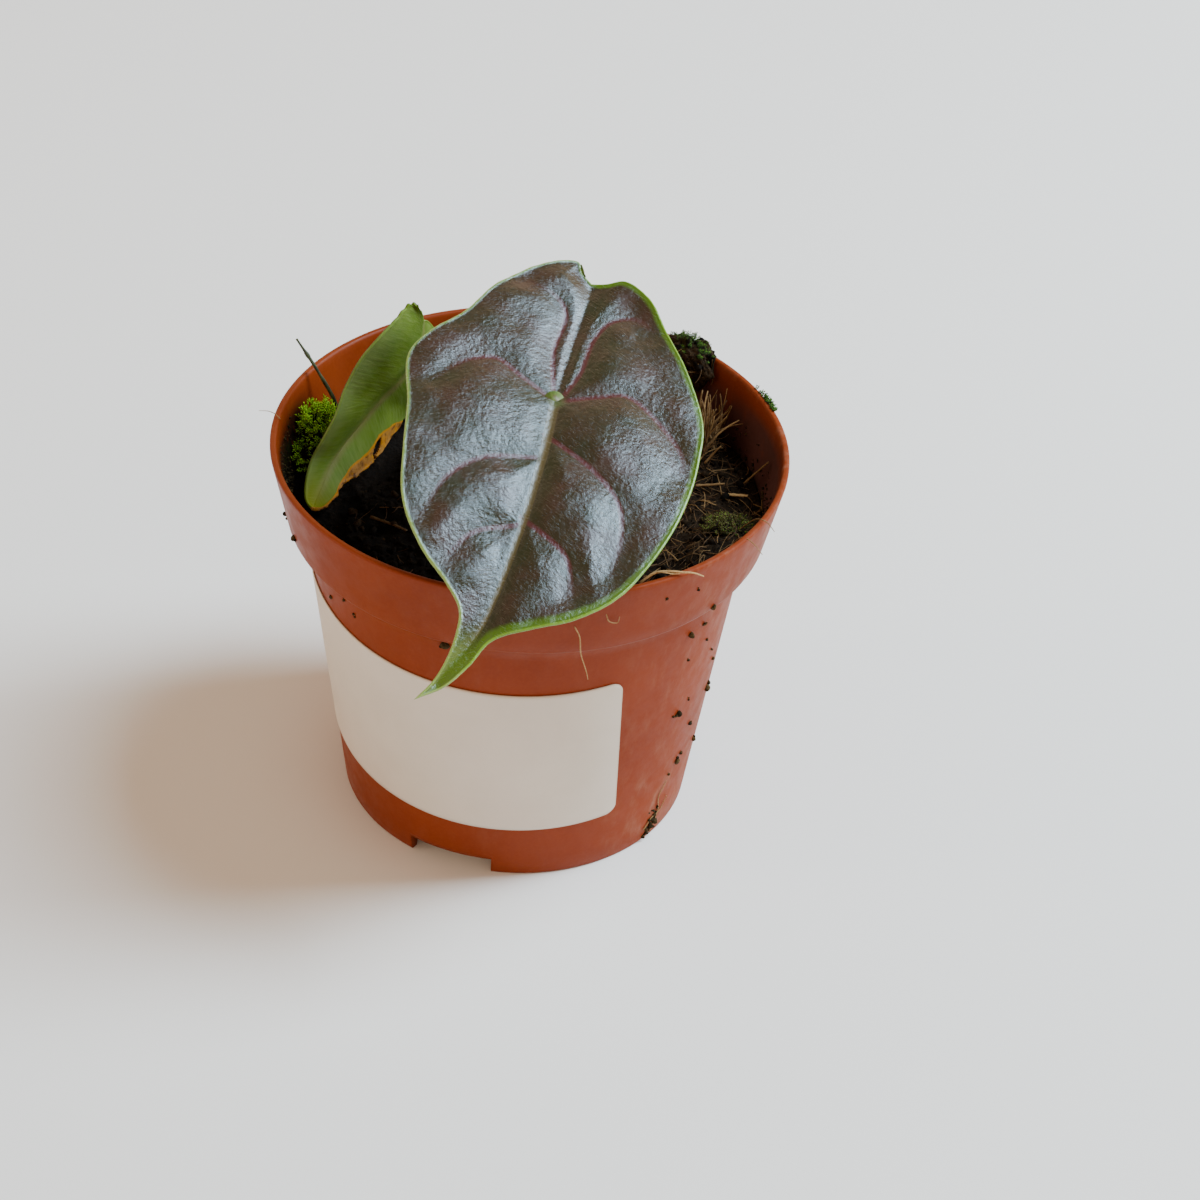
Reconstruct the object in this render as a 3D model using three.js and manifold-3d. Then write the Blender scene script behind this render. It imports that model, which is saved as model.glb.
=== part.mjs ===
// A young Alocasia azlanii in a 9 cm nursery pot: one dark peltate leaf hanging over the rim, one
// folded green leaf behind it, peat with coir and moss, and a blank label round the wall.
// Millimetres, +Z up. Everything is drawn round the pot's axis with the bench at z = 0, and the
// whole group is then moved sideways so that the middle of its footprint is the origin.
import * as THREE from 'three';
import { mergeVertices } from 'three/addons/utils/BufferGeometryUtils.js';
import Module from 'manifold-3d';

const wasm = await Module();
wasm.setup();

// Driving dimensions
const pot = {
  height: 72,
  rimRadius: 45,
  rimRounding: 0.5,
  collarFootHeight: 58,
  collarFootRadius: 42,
  wallTopRadius: 39,
  baseRadius: 31.6,
  wall: 1.2,
  sides: 64,
  footHeight: 3.8,
  floorThickness: 1.4,
  notchHeight: 3.4,
  notchWidth: 28,
  notchAngles: [-20, 100, 220],
  drainRadius: 2.6,
  drainRingRadius: 18,
  drainCount: 6,
};
const label = {
  width: 99.1,
  height: 33.9,
  corner: 2.2,
  angle: -50.1,
  middle: 29.6,
  lean: 4.9,
  gap: 0.15,
  thickness: 0.5,
};
const soil = { level: 59.4, edgeLevel: 59.9, gap: 0.35, sides: 56 };
const stemBase = { x: 1.5, y: 5, foot: 46, top: 62.6, radius: 4.2 };
const mainLeaf = {
  attachment: new THREE.Vector3(3.6, -11.2, 88.4),
  heading: -14,
  slope: 15,
  bend: 0.35,
  tipBend: 0.8,
  tipStart: 45,
  lean: 8,
  keel: 0.18,
  keelRounding: 1.5,
  dome: 0.006,
  puff: 0.8,
  puffWidth: 2.6,
  thickness: 0.7,
};
const secondLeaf = { thickness: 0.7, bulge: 0.9 };
const touchGap = 0.3;

const degrees = Math.PI / 180;

// Materials
function plain(color, roughness) {
  return new THREE.MeshStandardMaterial({ color, roughness, metalness: 0 });
}

const materials = {
  pot: plain(0xa5532f, 0.45),
  label: plain(0xd9d0c4, 0.75),
  soil: plain(0x2a211b, 0.95),
  mainLeaf: plain(0x4d453c, 0.3),
  petiole: plain(0x7d8f4a, 0.5),
  secondLeaf: plain(0x64753a, 0.55),
  stemBase: plain(0x6f6a3c, 0.7),
  stalk: plain(0x2f3a1c, 0.7),
  moss: plain(0x4f8a1c, 0.9),
  clump: plain(0x33291f, 0.95),
  coir: plain(0xa9793f, 0.85),
};

// A place at a radius, an angle from the front turning right, and a height.
function polar(radius, angle, z) {
  return new THREE.Vector3(radius * Math.sin(angle), -radius * Math.cos(angle), z);
}

function mix(a, b, t) {
  return a + (b - a) * t;
}

// A seeded draw between 0 and 1, so that every build scatters the fibres alike.
function seeded(seed) {
  let state = seed;
  return () => {
    state = (state * 1664525 + 1013904223) % 4294967296;
    return state / 4294967296;
  };
}

// The triangles of a closed body, turned so that they face out.
function facingOut(points, faces) {
  let volume = 0;
  const cross = new THREE.Vector3();
  for (let i = 0; i < faces.length; i += 3) {
    cross.crossVectors(points[faces[i + 1]], points[faces[i + 2]]);
    volume += points[faces[i]].dot(cross);
  }
  return volume < 0 ? faces.slice().reverse() : faces;
}

function closedGeometry(points, faces) {
  const geometry = new THREE.BufferGeometry().setFromPoints(points);
  geometry.setIndex(facingOut(points, faces));
  return geometry;
}

// A closed body through a row of closed rings with equal counts, with a fan over each end.
function loft(rings) {
  const count = rings[0].length;
  const points = rings.flat();
  const faces = [];
  for (let i = 0; i < rings.length - 1; i += 1) {
    for (let j = 0; j < count; j += 1) {
      const a = i * count + j;
      const b = i * count + (j + 1) % count;
      faces.push(a, b, b + count);
      faces.push(a, b + count, a + count);
    }
  }
  const ends = [[0, false], [rings.length - 1, true]];
  for (const [i, last] of ends) {
    const centre = new THREE.Vector3();
    rings[i].forEach((point) => centre.addScaledVector(point, 1 / count));
    points.push(centre);
    for (let j = 0; j < count; j += 1) {
      const a = i * count + j;
      const b = i * count + (j + 1) % count;
      faces.push(points.length - 1, last ? a : b, last ? b : a);
    }
  }
  return closedGeometry(points, faces);
}

// A round stem along a curve; radiusAt gives its radius from 0 at the foot to 1 at the tip.
function stem(curve, radiusAt, sides, steps) {
  const frames = curve.computeFrenetFrames(steps, false);
  const rings = [];
  for (let i = 0; i <= steps; i += 1) {
    const centre = curve.getPointAt(i / steps);
    const radius = radiusAt(i / steps);
    const ring = [];
    for (let j = 0; j < sides; j += 1) {
      const turn = 2 * Math.PI * j / sides;
      ring.push(centre.clone()
        .addScaledVector(frames.normals[i], radius * Math.cos(turn))
        .addScaledVector(frames.binormals[i], radius * Math.sin(turn)));
    }
    rings.push(ring);
  }
  return loft(rings);
}

function curveThrough(points) {
  return new THREE.CatmullRomCurve3(points.map((p) => new THREE.Vector3(...p)));
}

// Joining and cutting
function toSolid(geometry) {
  const bare = geometry.clone();
  bare.deleteAttribute('normal');
  bare.deleteAttribute('uv');
  const merged = mergeVertices(bare, 1e-4);
  const position = merged.attributes.position;
  const index = merged.index.array;
  const points = [];
  const kept = [];
  for (let i = 0; i < position.count; i += 1) {
    points.push(new THREE.Vector3().fromBufferAttribute(position, i));
  }
  for (let i = 0; i < index.length; i += 3) {
    const [a, b, c] = [index[i], index[i + 1], index[i + 2]];
    if (a !== b && b !== c && a !== c) {
      kept.push(a, b, c);
    }
  }
  return new wasm.Manifold(new wasm.Mesh({
    numProp: 3,
    vertProperties: new Float32Array(position.array),
    triVerts: new Uint32Array(facingOut(points, kept)),
  }));
}

function toGeometry(solid) {
  const mesh = solid.getMesh();
  const geometry = new THREE.BufferGeometry();
  geometry.setAttribute('position', new THREE.BufferAttribute(new Float32Array(mesh.vertProperties), 3));
  geometry.setIndex([...mesh.triVerts]);
  return geometry;
}

// Pot: a lathed shell with a collar, cut by the notches of its foot and by its drain holes
const floorTop = pot.footHeight + pot.floorThickness;
const ledgeFoot = pot.collarFootHeight - 0.6;
const ledgeTop = pot.collarFootHeight + 1.2;

function outerRadius(z) {
  if (z < pot.collarFootHeight) {
    return mix(pot.baseRadius, pot.wallTopRadius, z / pot.collarFootHeight);
  }
  const share = (z - pot.collarFootHeight) / (pot.height - pot.collarFootHeight);
  return mix(pot.collarFootRadius, pot.rimRadius, share);
}

function innerRadius(z) {
  if (z <= ledgeFoot) {
    return outerRadius(z) - pot.wall;
  }
  if (z >= ledgeTop) {
    return outerRadius(z) - pot.wall;
  }
  const share = (z - ledgeFoot) / (ledgeTop - ledgeFoot);
  return mix(outerRadius(ledgeFoot), outerRadius(ledgeTop), share) - pot.wall;
}

function notchCutter(angle) {
  const outline = new THREE.Shape();
  const half = pot.notchWidth / 2 * degrees;
  const middle = angle * degrees - Math.PI / 2;
  outline.absarc(0, 0, pot.baseRadius + 3, middle - half, middle + half, false);
  outline.absarc(0, 0, pot.baseRadius - 4, middle + half, middle - half, true);
  outline.closePath();
  const cutter = new THREE.ExtrudeGeometry(outline, {
    depth: pot.notchHeight + 1,
    bevelEnabled: false,
    curveSegments: 6,
  });
  cutter.translate(0, 0, -1);
  return cutter;
}

function drainCutter(number) {
  const hole = new THREE.CylinderGeometry(pot.drainRadius, pot.drainRadius, 4 * pot.floorThickness, 12);
  hole.rotateX(Math.PI / 2);
  const angle = (number + 0.5) * 2 * Math.PI / pot.drainCount;
  hole.translate(...polar(pot.drainRingRadius, angle, pot.footHeight + pot.floorThickness / 2).toArray());
  return hole;
}

function potGeometry() {
  const rim = pot.height - pot.rimRounding;
  const profile = [
    [0, pot.footHeight],
    [pot.baseRadius - 1.9, pot.footHeight],
    [pot.baseRadius - 1.4, 0],
    [pot.baseRadius, 0],
    [outerRadius(ledgeFoot), ledgeFoot],
    [pot.collarFootRadius - 0.4, pot.collarFootHeight],
    [outerRadius(pot.collarFootHeight + 0.4), pot.collarFootHeight + 0.4],
    [outerRadius(rim), rim],
    [outerRadius(rim) - 0.3, pot.height],
    [innerRadius(rim) + 0.3, pot.height],
    [innerRadius(rim), rim],
    [innerRadius(ledgeTop), ledgeTop],
    [innerRadius(ledgeFoot), ledgeFoot],
    [innerRadius(floorTop), floorTop],
    [0, floorTop],
  ];
  const shell = new THREE.LatheGeometry(profile.map(([r, z]) => new THREE.Vector2(r, z)), pot.sides);
  shell.rotateX(Math.PI / 2);
  let solid = toSolid(shell);
  for (const angle of pot.notchAngles) {
    solid = solid.subtract(toSolid(notchCutter(angle)));
  }
  for (let i = 0; i < pot.drainCount; i += 1) {
    solid = solid.subtract(toSolid(drainCutter(i)));
  }
  return toGeometry(solid);
}

// Label: a flat rectangle with round corners, leaning a little and wrapped on the tapered wall. The
// wall is part of a cone, and the rectangle lies on the flat sheet that the cone unrolls to.
const taper = Math.atan((pot.wallTopRadius - pot.baseRadius) / pot.collarFootHeight);
const coneTip = -pot.baseRadius / Math.tan(taper);

function labelGeometry() {
  const columns = 28;
  const cornerSteps = 3;
  const rows = 4;
  const lean = label.lean * degrees;
  const half = label.width / 2;
  const tipToMiddle = (label.middle - coneTip) / Math.cos(taper);
  const stations = [];
  for (let i = 0; i < cornerSteps; i += 1) {
    stations.push(label.corner * (1 - Math.cos(i / cornerSteps * Math.PI / 2)) - half);
  }
  for (let i = 0; i <= columns; i += 1) {
    stations.push((half - label.corner) * (2 * i / columns - 1));
  }
  for (let i = cornerSteps - 1; i >= 0; i -= 1) {
    stations.push(-stations[i]);
  }
  const skin = (x, across, offset) => {
    const inset = Math.max(0, label.corner - (half - Math.abs(x)));
    const round = label.corner - Math.sqrt(Math.max(0, label.corner ** 2 - inset ** 2));
    const y = across * (label.height / 2 - round);
    const sideways = x * Math.cos(lean) + y * Math.sin(lean);
    const outward = tipToMiddle + y * Math.cos(lean) - x * Math.sin(lean);
    const z = coneTip + Math.hypot(sideways, outward) * Math.cos(taper);
    const turn = Math.atan2(sideways, outward) / Math.sin(taper);
    return polar(outerRadius(z) + offset, label.angle * degrees + turn, z);
  };
  const rings = stations.map((x) => {
    const ring = [];
    for (let j = 0; j <= rows; j += 1) {
      ring.push(skin(x, 2 * j / rows - 1, label.gap));
    }
    for (let j = rows; j >= 0; j -= 1) {
      ring.push(skin(x, 2 * j / rows - 1, label.gap + label.thickness));
    }
    return ring;
  });
  return loft(rings);
}

// Soil: fills the pot to an uneven top, heaped at the right front, at the back right and under the moss
const heaps = [
  { x: 1.5, y: 5, height: 1.6, spread: 8 },
  { x: -39, y: 11, height: 2.6, spread: 5 },
  { x: 34, y: -17, height: 5.5, spread: 7 },
  { x: 25, y: 33, height: 5, spread: 7 },
];

function soilHeight(x, y) {
  let height = soil.level + 0.25 * Math.sin(0.42 * x + 0.7) * Math.cos(0.37 * y);
  for (const heap of heaps) {
    const distance = Math.hypot(x - heap.x, y - heap.y) / heap.spread;
    height += heap.height * Math.exp(-distance * distance / 2);
  }
  return height;
}

function holeCutter(x, y, radius, foot) {
  const hole = new THREE.CylinderGeometry(radius, radius, 40, 16);
  hole.rotateX(Math.PI / 2);
  hole.translate(x, y, foot + 20);
  return hole;
}

function soilGeometry() {
  const shares = [1, 0.93, 0.84, 0.74, 0.63, 0.52, 0.4, 0.28, 0.15];
  const rings = [];
  const level = (z) => {
    const ring = [];
    for (let j = 0; j < soil.sides; j += 1) {
      ring.push(polar(innerRadius(z) - soil.gap, 2 * Math.PI * j / soil.sides, z));
    }
    return ring;
  };
  rings.push(level(floorTop + soil.gap));
  rings.push(level(ledgeFoot));
  rings.push(level(ledgeTop).map((point) => point.setZ(ledgeTop + soil.gap)));
  for (const share of shares) {
    const ring = [];
    for (let j = 0; j < soil.sides; j += 1) {
      const angle = 2 * Math.PI * j / soil.sides;
      const edge = polar(innerRadius(ledgeTop) - soil.gap, angle, 0);
      const top = Math.max(soilHeight(edge.x, edge.y), soil.edgeLevel);
      const reach = innerRadius(top) - soil.gap;
      const point = polar(reach * share, angle, 0);
      point.z = share === 1 ? top : soilHeight(point.x, point.y);
      ring.push(point);
    }
    rings.push(ring);
  }
  const holes = [
    holeCutter(stemBase.x, stemBase.y, stemBase.radius + 0.4, stemBase.foot - 0.4),
    holeCutter(stalkFoot[0], stalkFoot[1], stalkRadius + 0.5, stalkFoot[2] - 0.4),
  ];
  let solid = toSolid(loft(rings));
  for (const hole of holes) {
    solid = solid.subtract(toSolid(hole));
  }
  return toGeometry(solid);
}

// Stem base: the short stem that both leaves grow from, standing in a plain hole in the soil
function stemBaseGeometry() {
  const profile = [
    [0, stemBase.foot],
    [2.4, stemBase.foot],
    [3.8, stemBase.foot + 5],
    [stemBase.radius, stemBase.foot + 11],
    [3.7, stemBase.foot + 14],
    [stemBase.radius - 0.2, stemBase.foot + 14.6],
    [3.6, stemBase.top - 0.5],
    [3.1, stemBase.top],
    [0, stemBase.top],
  ];
  const body = new THREE.LatheGeometry(profile.map(([r, z]) => new THREE.Vector2(r, z)), 20);
  body.rotateX(Math.PI / 2);
  body.translate(stemBase.x, stemBase.y, 0);
  return body;
}

// A leaf blade with two like faces. place(q, t) gives a point of the face that is drawn, with q
// from the notch between the lobes to the tip and t from -1 at one margin through 0 at the midrib
// to 1 at the other. The other face lies one thickness behind it.
function bladeNormal(place, q, t) {
  const step = 0.01;
  const along = Math.min(Math.max(q, 2 * step), 1 - 2 * step);
  const across = Math.min(Math.max(t, -1 + step), 1 - step);
  const forward = place(along + step, across).sub(place(along - step, across));
  const sideways = place(along, across + step).sub(place(along, across - step));
  return forward.cross(sideways).normalize();
}

function bladeGeometry(place, thickness, rungs, cells) {
  const drawn = [];
  const behind = [];
  const numbers = [];
  for (let i = 0; i <= rungs; i += 1) {
    const single = i === 0 || i === rungs;
    const row = [];
    for (let j = 0; j <= cells; j += 1) {
      if (single && j > 0) {
        row.push(row[0]);
      } else {
        const t = single ? 0 : 2 * j / cells - 1;
        const point = place(i / rungs, t);
        row.push(drawn.length);
        drawn.push(point);
        behind.push(point.clone().addScaledVector(bladeNormal(place, i / rungs, t), -thickness));
      }
    }
    numbers.push(row);
  }
  const faces = [];
  const under = drawn.length;
  const addFace = (a, b, c) => {
    if (a !== b && b !== c && a !== c) {
      faces.push(a, b, c);
    }
  };
  for (let i = 0; i < rungs; i += 1) {
    for (let j = 0; j < cells; j += 1) {
      const [a, b] = [numbers[i][j], numbers[i][j + 1]];
      const [d, c] = [numbers[i + 1][j], numbers[i + 1][j + 1]];
      addFace(a, b, c);
      addFace(a, c, d);
      addFace(under + a, under + c, under + b);
      addFace(under + a, under + d, under + c);
    }
    const [a, d] = [numbers[i][0], numbers[i + 1][0]];
    addFace(a, d, under + d);
    addFace(a, under + d, under + a);
    const [b, c] = [numbers[i][cells], numbers[i + 1][cells]];
    addFace(c, b, under + b);
    addFace(c, under + b, under + c);
  }
  return closedGeometry(drawn.concat(behind), faces);
}

// Main blade: its outline and veins are drawn flat, as distance along the midrib from the petiole
// and distance to the right, and laid on a surface that arches forward, leans a little and folds
// gently along the midrib. Each row holds a point of the left margin, the midrib and the right
// margin.
const mainRows = [
  [[-27.5, -0.9], [-27.5, -0.9], [-27.5, -0.9]],
  [[-28.9, -2.9], [-26.4, -0.8], [-28.2, 1.7]],
  [[-30.9, -4.2], [-24.6, -0.6], [-29.2, 4.6]],
  [[-28.5, -9.3], [-21.5, -0.4], [-26.6, 9.4]],
  [[-20.8, -15.8], [-16, -0.3], [-19.5, 14.9]],
  [[-12.3, -19.5], [-9.5, -0.1], [-11, 20.9]],
  [[-5.7, -23.9], [-3, 0], [-2.5, 25.2]],
  [[-0.5, -25.7], [3, 0], [4, 26.2]],
  [[9.5, -22.8], [11, 0.3], [11, 26.5]],
  [[18.4, -20.8], [19, 0.9], [19.5, 25.7]],
  [[27, -18.4], [27, 1.2], [28, 23.3]],
  [[34.4, -13.5], [34.5, 1], [35.4, 19.7]],
  [[40, -7.2], [40.5, 0.4], [40.7, 14.2]],
  [[43.6, -4.1], [44.5, 0], [44.2, 7.6]],
  [[47.5, -3.5], [48.2, -0.9], [47.4, 2.2]],
  [[52.2, -4], [52.5, -2.4], [52.2, -0.2]],
  [[56, -5.3], [56.3, -4.4], [56.2, -3]],
  [[59.4, -7.4], [59.4, -7.4], [59.4, -7.4]],
];
const mainVeins = [
  [[-26, -0.6], [0, 0], [19, 0.9], [34.5, 1], [44.5, 0], [56, -4.6]],
  [[0, 0], [-10, -2.9], [-18.8, -3.2], [-21.4, -5.4], [-23, -11]],
  [[0, 0.8], [-7, 2.6], [-14.7, 2.8], [-19.8, 4.6], [-21.9, 8.5], [-20, 12]],
  [[0, 0], [-2.7, -6.9], [-4.6, -11.4], [-2.6, -15.7], [3.5, -20.3]],
  [[0, 0.8], [-2.7, 7], [-4.3, 11.4], [-0.6, 18.1], [4.6, 23.2], [9, 24.2]],
  [[12.5, 0.4], [15.9, -7.9], [21.4, -12.4], [29, -14.3]],
  [[7.5, 0.4], [13.1, 10.6], [18, 15.8], [23.6, 17.6], [31, 17.8]],
  [[26, 1.1], [29.8, -5.5], [35, -8.4]],
  [[24.5, 1.1], [30, 10], [36, 12.5]],
];

const mainFrame = {
  forward: polar(1, mainLeaf.heading * degrees, 0),
  right: polar(1, (mainLeaf.heading + 90) * degrees, 0),
  up: new THREE.Vector3(0, 0, 1),
};

function mainSlope(s) {
  const bend = mainLeaf.bend * Math.max(s, 0) + mainLeaf.tipBend * Math.max(s - mainLeaf.tipStart, 0);
  return (mainLeaf.slope + bend) * degrees;
}

function mainSurface(s, v, lift) {
  const steps = 24;
  const centre = mainLeaf.attachment.clone();
  for (let i = 0; i < steps; i += 1) {
    const slope = mainSlope(s * (i + 0.5) / steps);
    centre.addScaledVector(mainFrame.forward, Math.cos(slope) * s / steps);
    centre.addScaledVector(mainFrame.up, -Math.sin(slope) * s / steps);
  }
  const slope = mainSlope(s);
  const lean = mainLeaf.lean * degrees;
  const normal = mainFrame.forward.clone().multiplyScalar(Math.sin(slope));
  normal.addScaledVector(mainFrame.up, Math.cos(slope));
  const side = mainFrame.right.clone().multiplyScalar(Math.cos(lean));
  side.addScaledVector(normal, -Math.sin(lean));
  const face = mainFrame.right.clone().multiplyScalar(Math.sin(lean));
  face.addScaledVector(normal, Math.cos(lean));
  const keel = mainLeaf.keel * (Math.hypot(v, mainLeaf.keelRounding) - mainLeaf.keelRounding);
  const height = keel - mainLeaf.dome * v * v + lift;
  return centre.addScaledVector(side, v).addScaledVector(face, height);
}

function distanceToVeins(s, v) {
  let nearest = Infinity;
  for (const vein of mainVeins) {
    for (let i = 0; i < vein.length - 1; i += 1) {
      const [a, b] = [vein[i], vein[i + 1]];
      const run = [b[0] - a[0], b[1] - a[1]];
      const share = ((s - a[0]) * run[0] + (v - a[1]) * run[1]) / (run[0] ** 2 + run[1] ** 2);
      const t = Math.min(Math.max(share, 0), 1);
      nearest = Math.min(nearest, Math.hypot(s - a[0] - run[0] * t, v - a[1] - run[1] * t));
    }
  }
  return nearest;
}

// Three curves run from the notch to the tip: the left margin, the midrib and the right margin.
function rails(rows) {
  return [0, 1, 2].map((side) => curveThrough(rows.map((row) => [...row[side], 0].slice(0, 3))));
}

const mainRails = rails(mainRows);

function placeOnMain(q, t) {
  const middle = mainRails[1].getPoint(q);
  const margin = mainRails[t < 0 ? 0 : 2].getPoint(q);
  const flat = middle.lerp(margin, Math.abs(t));
  const distance = distanceToVeins(flat.x, flat.y) / mainLeaf.puffWidth;
  const lift = mainLeaf.puff * (1 - Math.exp(-distance * distance)) - mainLeaf.puff;
  return mainSurface(flat.x, flat.y, lift);
}

// Second blade: standing on its side and folded gently along the midrib, its lower margin low over
// the soil. Each row holds a point of the upper margin, the midrib and the lower margin.
const secondRows = [
  [[-20.1, 18.6, 84], [-20.1, 18.6, 84], [-20.1, 18.6, 84]],
  [[-20.5, 15.2, 88.3], [-20.1, 19, 81.5], [-18.8, 21.8, 81.5]],
  [[-21.9, 14.4, 89.5], [-20.2, 18.8, 78.5], [-16.7, 23.3, 76.5]],
  [[-24.1, 10.9, 88.5], [-21.6, 17.1, 75.5], [-16.2, 23.5, 70.5]],
  [[-26.9, 7.9, 86.5], [-23.9, 14.6, 73], [-18.4, 23.1, 65.5]],
  [[-30, 5.8, 83], [-26.2, 12.6, 71.2], [-22.2, 21.1, 62.5]],
  [[-32.1, 4.2, 79], [-28.5, 10.3, 69.4], [-24.5, 15.9, 61.3]],
  [[-33.9, 1.1, 74.5], [-30.9, 7.6, 67.3], [-26.6, 9.3, 61]],
  [[-36, -0.8, 70.5], [-33.3, 4, 65.3], [-29.4, 4, 60.8]],
  [[-37.8, -2, 67], [-34.9, 0.6, 63.5], [-32.1, 0.2, 60.7]],
  [[-38.6, -4.4, 64], [-36.1, -3.5, 61.8], [-33.8, -4.9, 60.5]],
  [[-38.4, -6.7, 61.8], [-36.9, -6.3, 60.8], [-35.5, -7.3, 60.4]],
  [[-37.1, -7.9, 60.5], [-37.1, -7.9, 60.5], [-37.1, -7.9, 60.5]],
];
const secondRails = rails(secondRows);

function placeOnSecond(q, t) {
  const middle = secondRails[1].getPoint(q);
  const margin = secondRails[t < 0 ? 0 : 2].getPoint(q);
  const chord = margin.clone().sub(middle);
  const along = secondRails[1].getTangent(Math.min(Math.max(q, 0.02), 0.98));
  const outward = chord.clone().cross(along).multiplyScalar(t < 0 ? 1 : -1);
  const width = chord.length();
  if (outward.length() > 1e-6) {
    outward.normalize();
  }
  const bulge = secondLeaf.bulge * 4 * Math.abs(t) * (1 - Math.abs(t)) * width / 15;
  return middle.addScaledVector(chord, Math.abs(t)).addScaledVector(outward, bulge);
}

function secondBladeGeometry() {
  const blade = toSolid(bladeGeometry(placeOnSecond, secondLeaf.thickness, 28, 8));
  const hole = new THREE.SphereGeometry(1, 10, 8);
  hole.scale(0.55, 3, 1.5);
  hole.rotateX(-40 * degrees);
  hole.translate(...placeOnSecond(0.56, 0.8).toArray());
  return toGeometry(blade.subtract(toSolid(hole)));
}

// Petioles, from the top of the stem base to the underside of each blade: the main blade is drawn
// from above and the second one from below.
const petioleFoot = stemBase.top + touchGap;

function offBlade(place, q, distance) {
  return place(q, 0).addScaledVector(bladeNormal(place, q, 0), distance);
}

function mainPetioleGeometry() {
  const end = offBlade(placeOnMain, 0.3826, -mainLeaf.thickness - 2 * touchGap);
  const route = curveThrough([
    [2.2, 3.4, petioleFoot],
    [1.6, 2.6, 70],
    [2, -2.2, 79],
    end.toArray(),
  ]);
  return stem(route, (t) => mix(1.7, 1.1, t), 12, 16);
}

function secondPetioleGeometry() {
  const end = offBlade(placeOnSecond, 0.17, 3 * touchGap);
  const route = curveThrough([
    [-0.2, 6.6, petioleFoot],
    [-1.6, 7.6, 70],
    [-6.2, 11.4, 77.6],
    [-13, 16.2, 79.6],
    end.toArray(),
  ]);
  return stem(route, (t) => mix(1.4, 0.8, t), 10, 18);
}

// Dry stalk leaning out over the rim at the left
const stalkFoot = [-34.6, 16.6, 58.6];
const stalkRadius = 0.55;

const stalkRoute = curveThrough([
  stalkFoot,
  [-34.9, 16.7, 66],
  [-38.2, 17.5, 72.6],
  [-42.2, 19.5, 78],
]);

function stalkGeometry() {
  return stem(stalkRoute, (t) => mix(stalkRadius, 0.3, t), 6, 12);
}

// A cushion lying on the soil, with lumps on its top and its hem held inside the pot's wall
function cushionGeometry({ x, y, halfWidth, halfLength, turn, height, lump }) {
  const sides = 22;
  const shares = [0.3, 0.55, 0.75, 0.9, 1];
  const ground = (px, py) => soilHeight(px, py) + 0.45;
  const ringAt = (share, top) => {
    const ring = [];
    for (let j = 0; j < sides; j += 1) {
      const angle = 2 * Math.PI * j / sides;
      const along = halfLength * share * Math.sin(angle);
      const across = halfWidth * share * Math.cos(angle);
      const point = new THREE.Vector3(
        x + across * Math.cos(turn) - along * Math.sin(turn),
        y + across * Math.sin(turn) + along * Math.cos(turn),
        0,
      );
      const dome = height * (1 - share ** 3) + lump * Math.sin(7 * angle + 9 * share) * (1 - share);
      const limit = innerRadius(ground(point.x, point.y) + 0.6) - soil.gap;
      const radius = Math.hypot(point.x, point.y);
      point.multiplyScalar(Math.min(1, limit / radius));
      point.z = ground(point.x, point.y) + (top ? Math.max(dome, 0.5) : 0);
      ring.push(point);
    }
    return ring;
  };
  const rings = [];
  shares.forEach((share) => rings.push(ringAt(share, false)));
  shares.slice().reverse().forEach((share) => rings.push(ringAt(share, true)));
  return loft(rings);
}

const mossLeft = { x: -37.6, y: 11.2, halfWidth: 5.4, halfLength: 8.2, turn: -0.22, height: 5.2, lump: 1.4 };
const mossRight = { x: 34.3, y: -10.8, halfWidth: 4, halfLength: 5, turn: -0.3, height: 1.3, lump: 0.6 };

// The left cushion grows round the dry stalk, with a little room left round it.
function mossLeftGeometry() {
  const sleeve = stem(stalkRoute, () => stalkRadius + touchGap, 8, 12);
  return toGeometry(toSolid(cushionGeometry(mossLeft)).subtract(toSolid(sleeve)));
}

// Clump of peat standing against the wall at the back right and lying over the rim
const clump = { x: 27.9, y: 32, z: 69.6, halfAlong: 5.2, halfAcross: 3.2, halfHeight: 4.9 };

function rimCutter() {
  const profile = [
    [innerRadius(ledgeTop) - touchGap, ledgeTop],
    [innerRadius(pot.height) - touchGap, pot.height + touchGap],
    [pot.rimRadius + 12, pot.height + touchGap],
    [pot.rimRadius + 12, ledgeTop],
  ];
  const closed = [...profile, profile[0]].map(([r, z]) => new THREE.Vector2(r, z));
  const ring = new THREE.LatheGeometry(closed, pot.sides);
  ring.rotateX(Math.PI / 2);
  return ring;
}

function clumpGeometry() {
  const ball = new THREE.SphereGeometry(1, 22, 14);
  const position = ball.attributes.position;
  const point = new THREE.Vector3();
  for (let i = 0; i < position.count; i += 1) {
    point.fromBufferAttribute(position, i);
    const lump = 1 + 0.1 * Math.sin(6 * point.x + 1) * Math.cos(5 * point.z) + 0.06 * Math.sin(9 * point.y);
    point.multiplyScalar(lump);
    position.setXYZ(i, point.x, point.y, point.z);
  }
  ball.scale(clump.halfAlong, clump.halfAcross, clump.halfHeight);
  ball.rotateZ(Math.atan2(clump.x, -clump.y));
  ball.translate(clump.x, clump.y, clump.z);
  const ring = toSolid(rimCutter());
  return toGeometry(toSolid(ball).subtract(ring));
}

// Coir: a tuft rising from one root, with fibres fused where they leave it, and single straws on the soil
const tuft = { x: 31, y: 18, fibres: 12, length: 9.5, radius: 0.4, seed: 11 };

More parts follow.
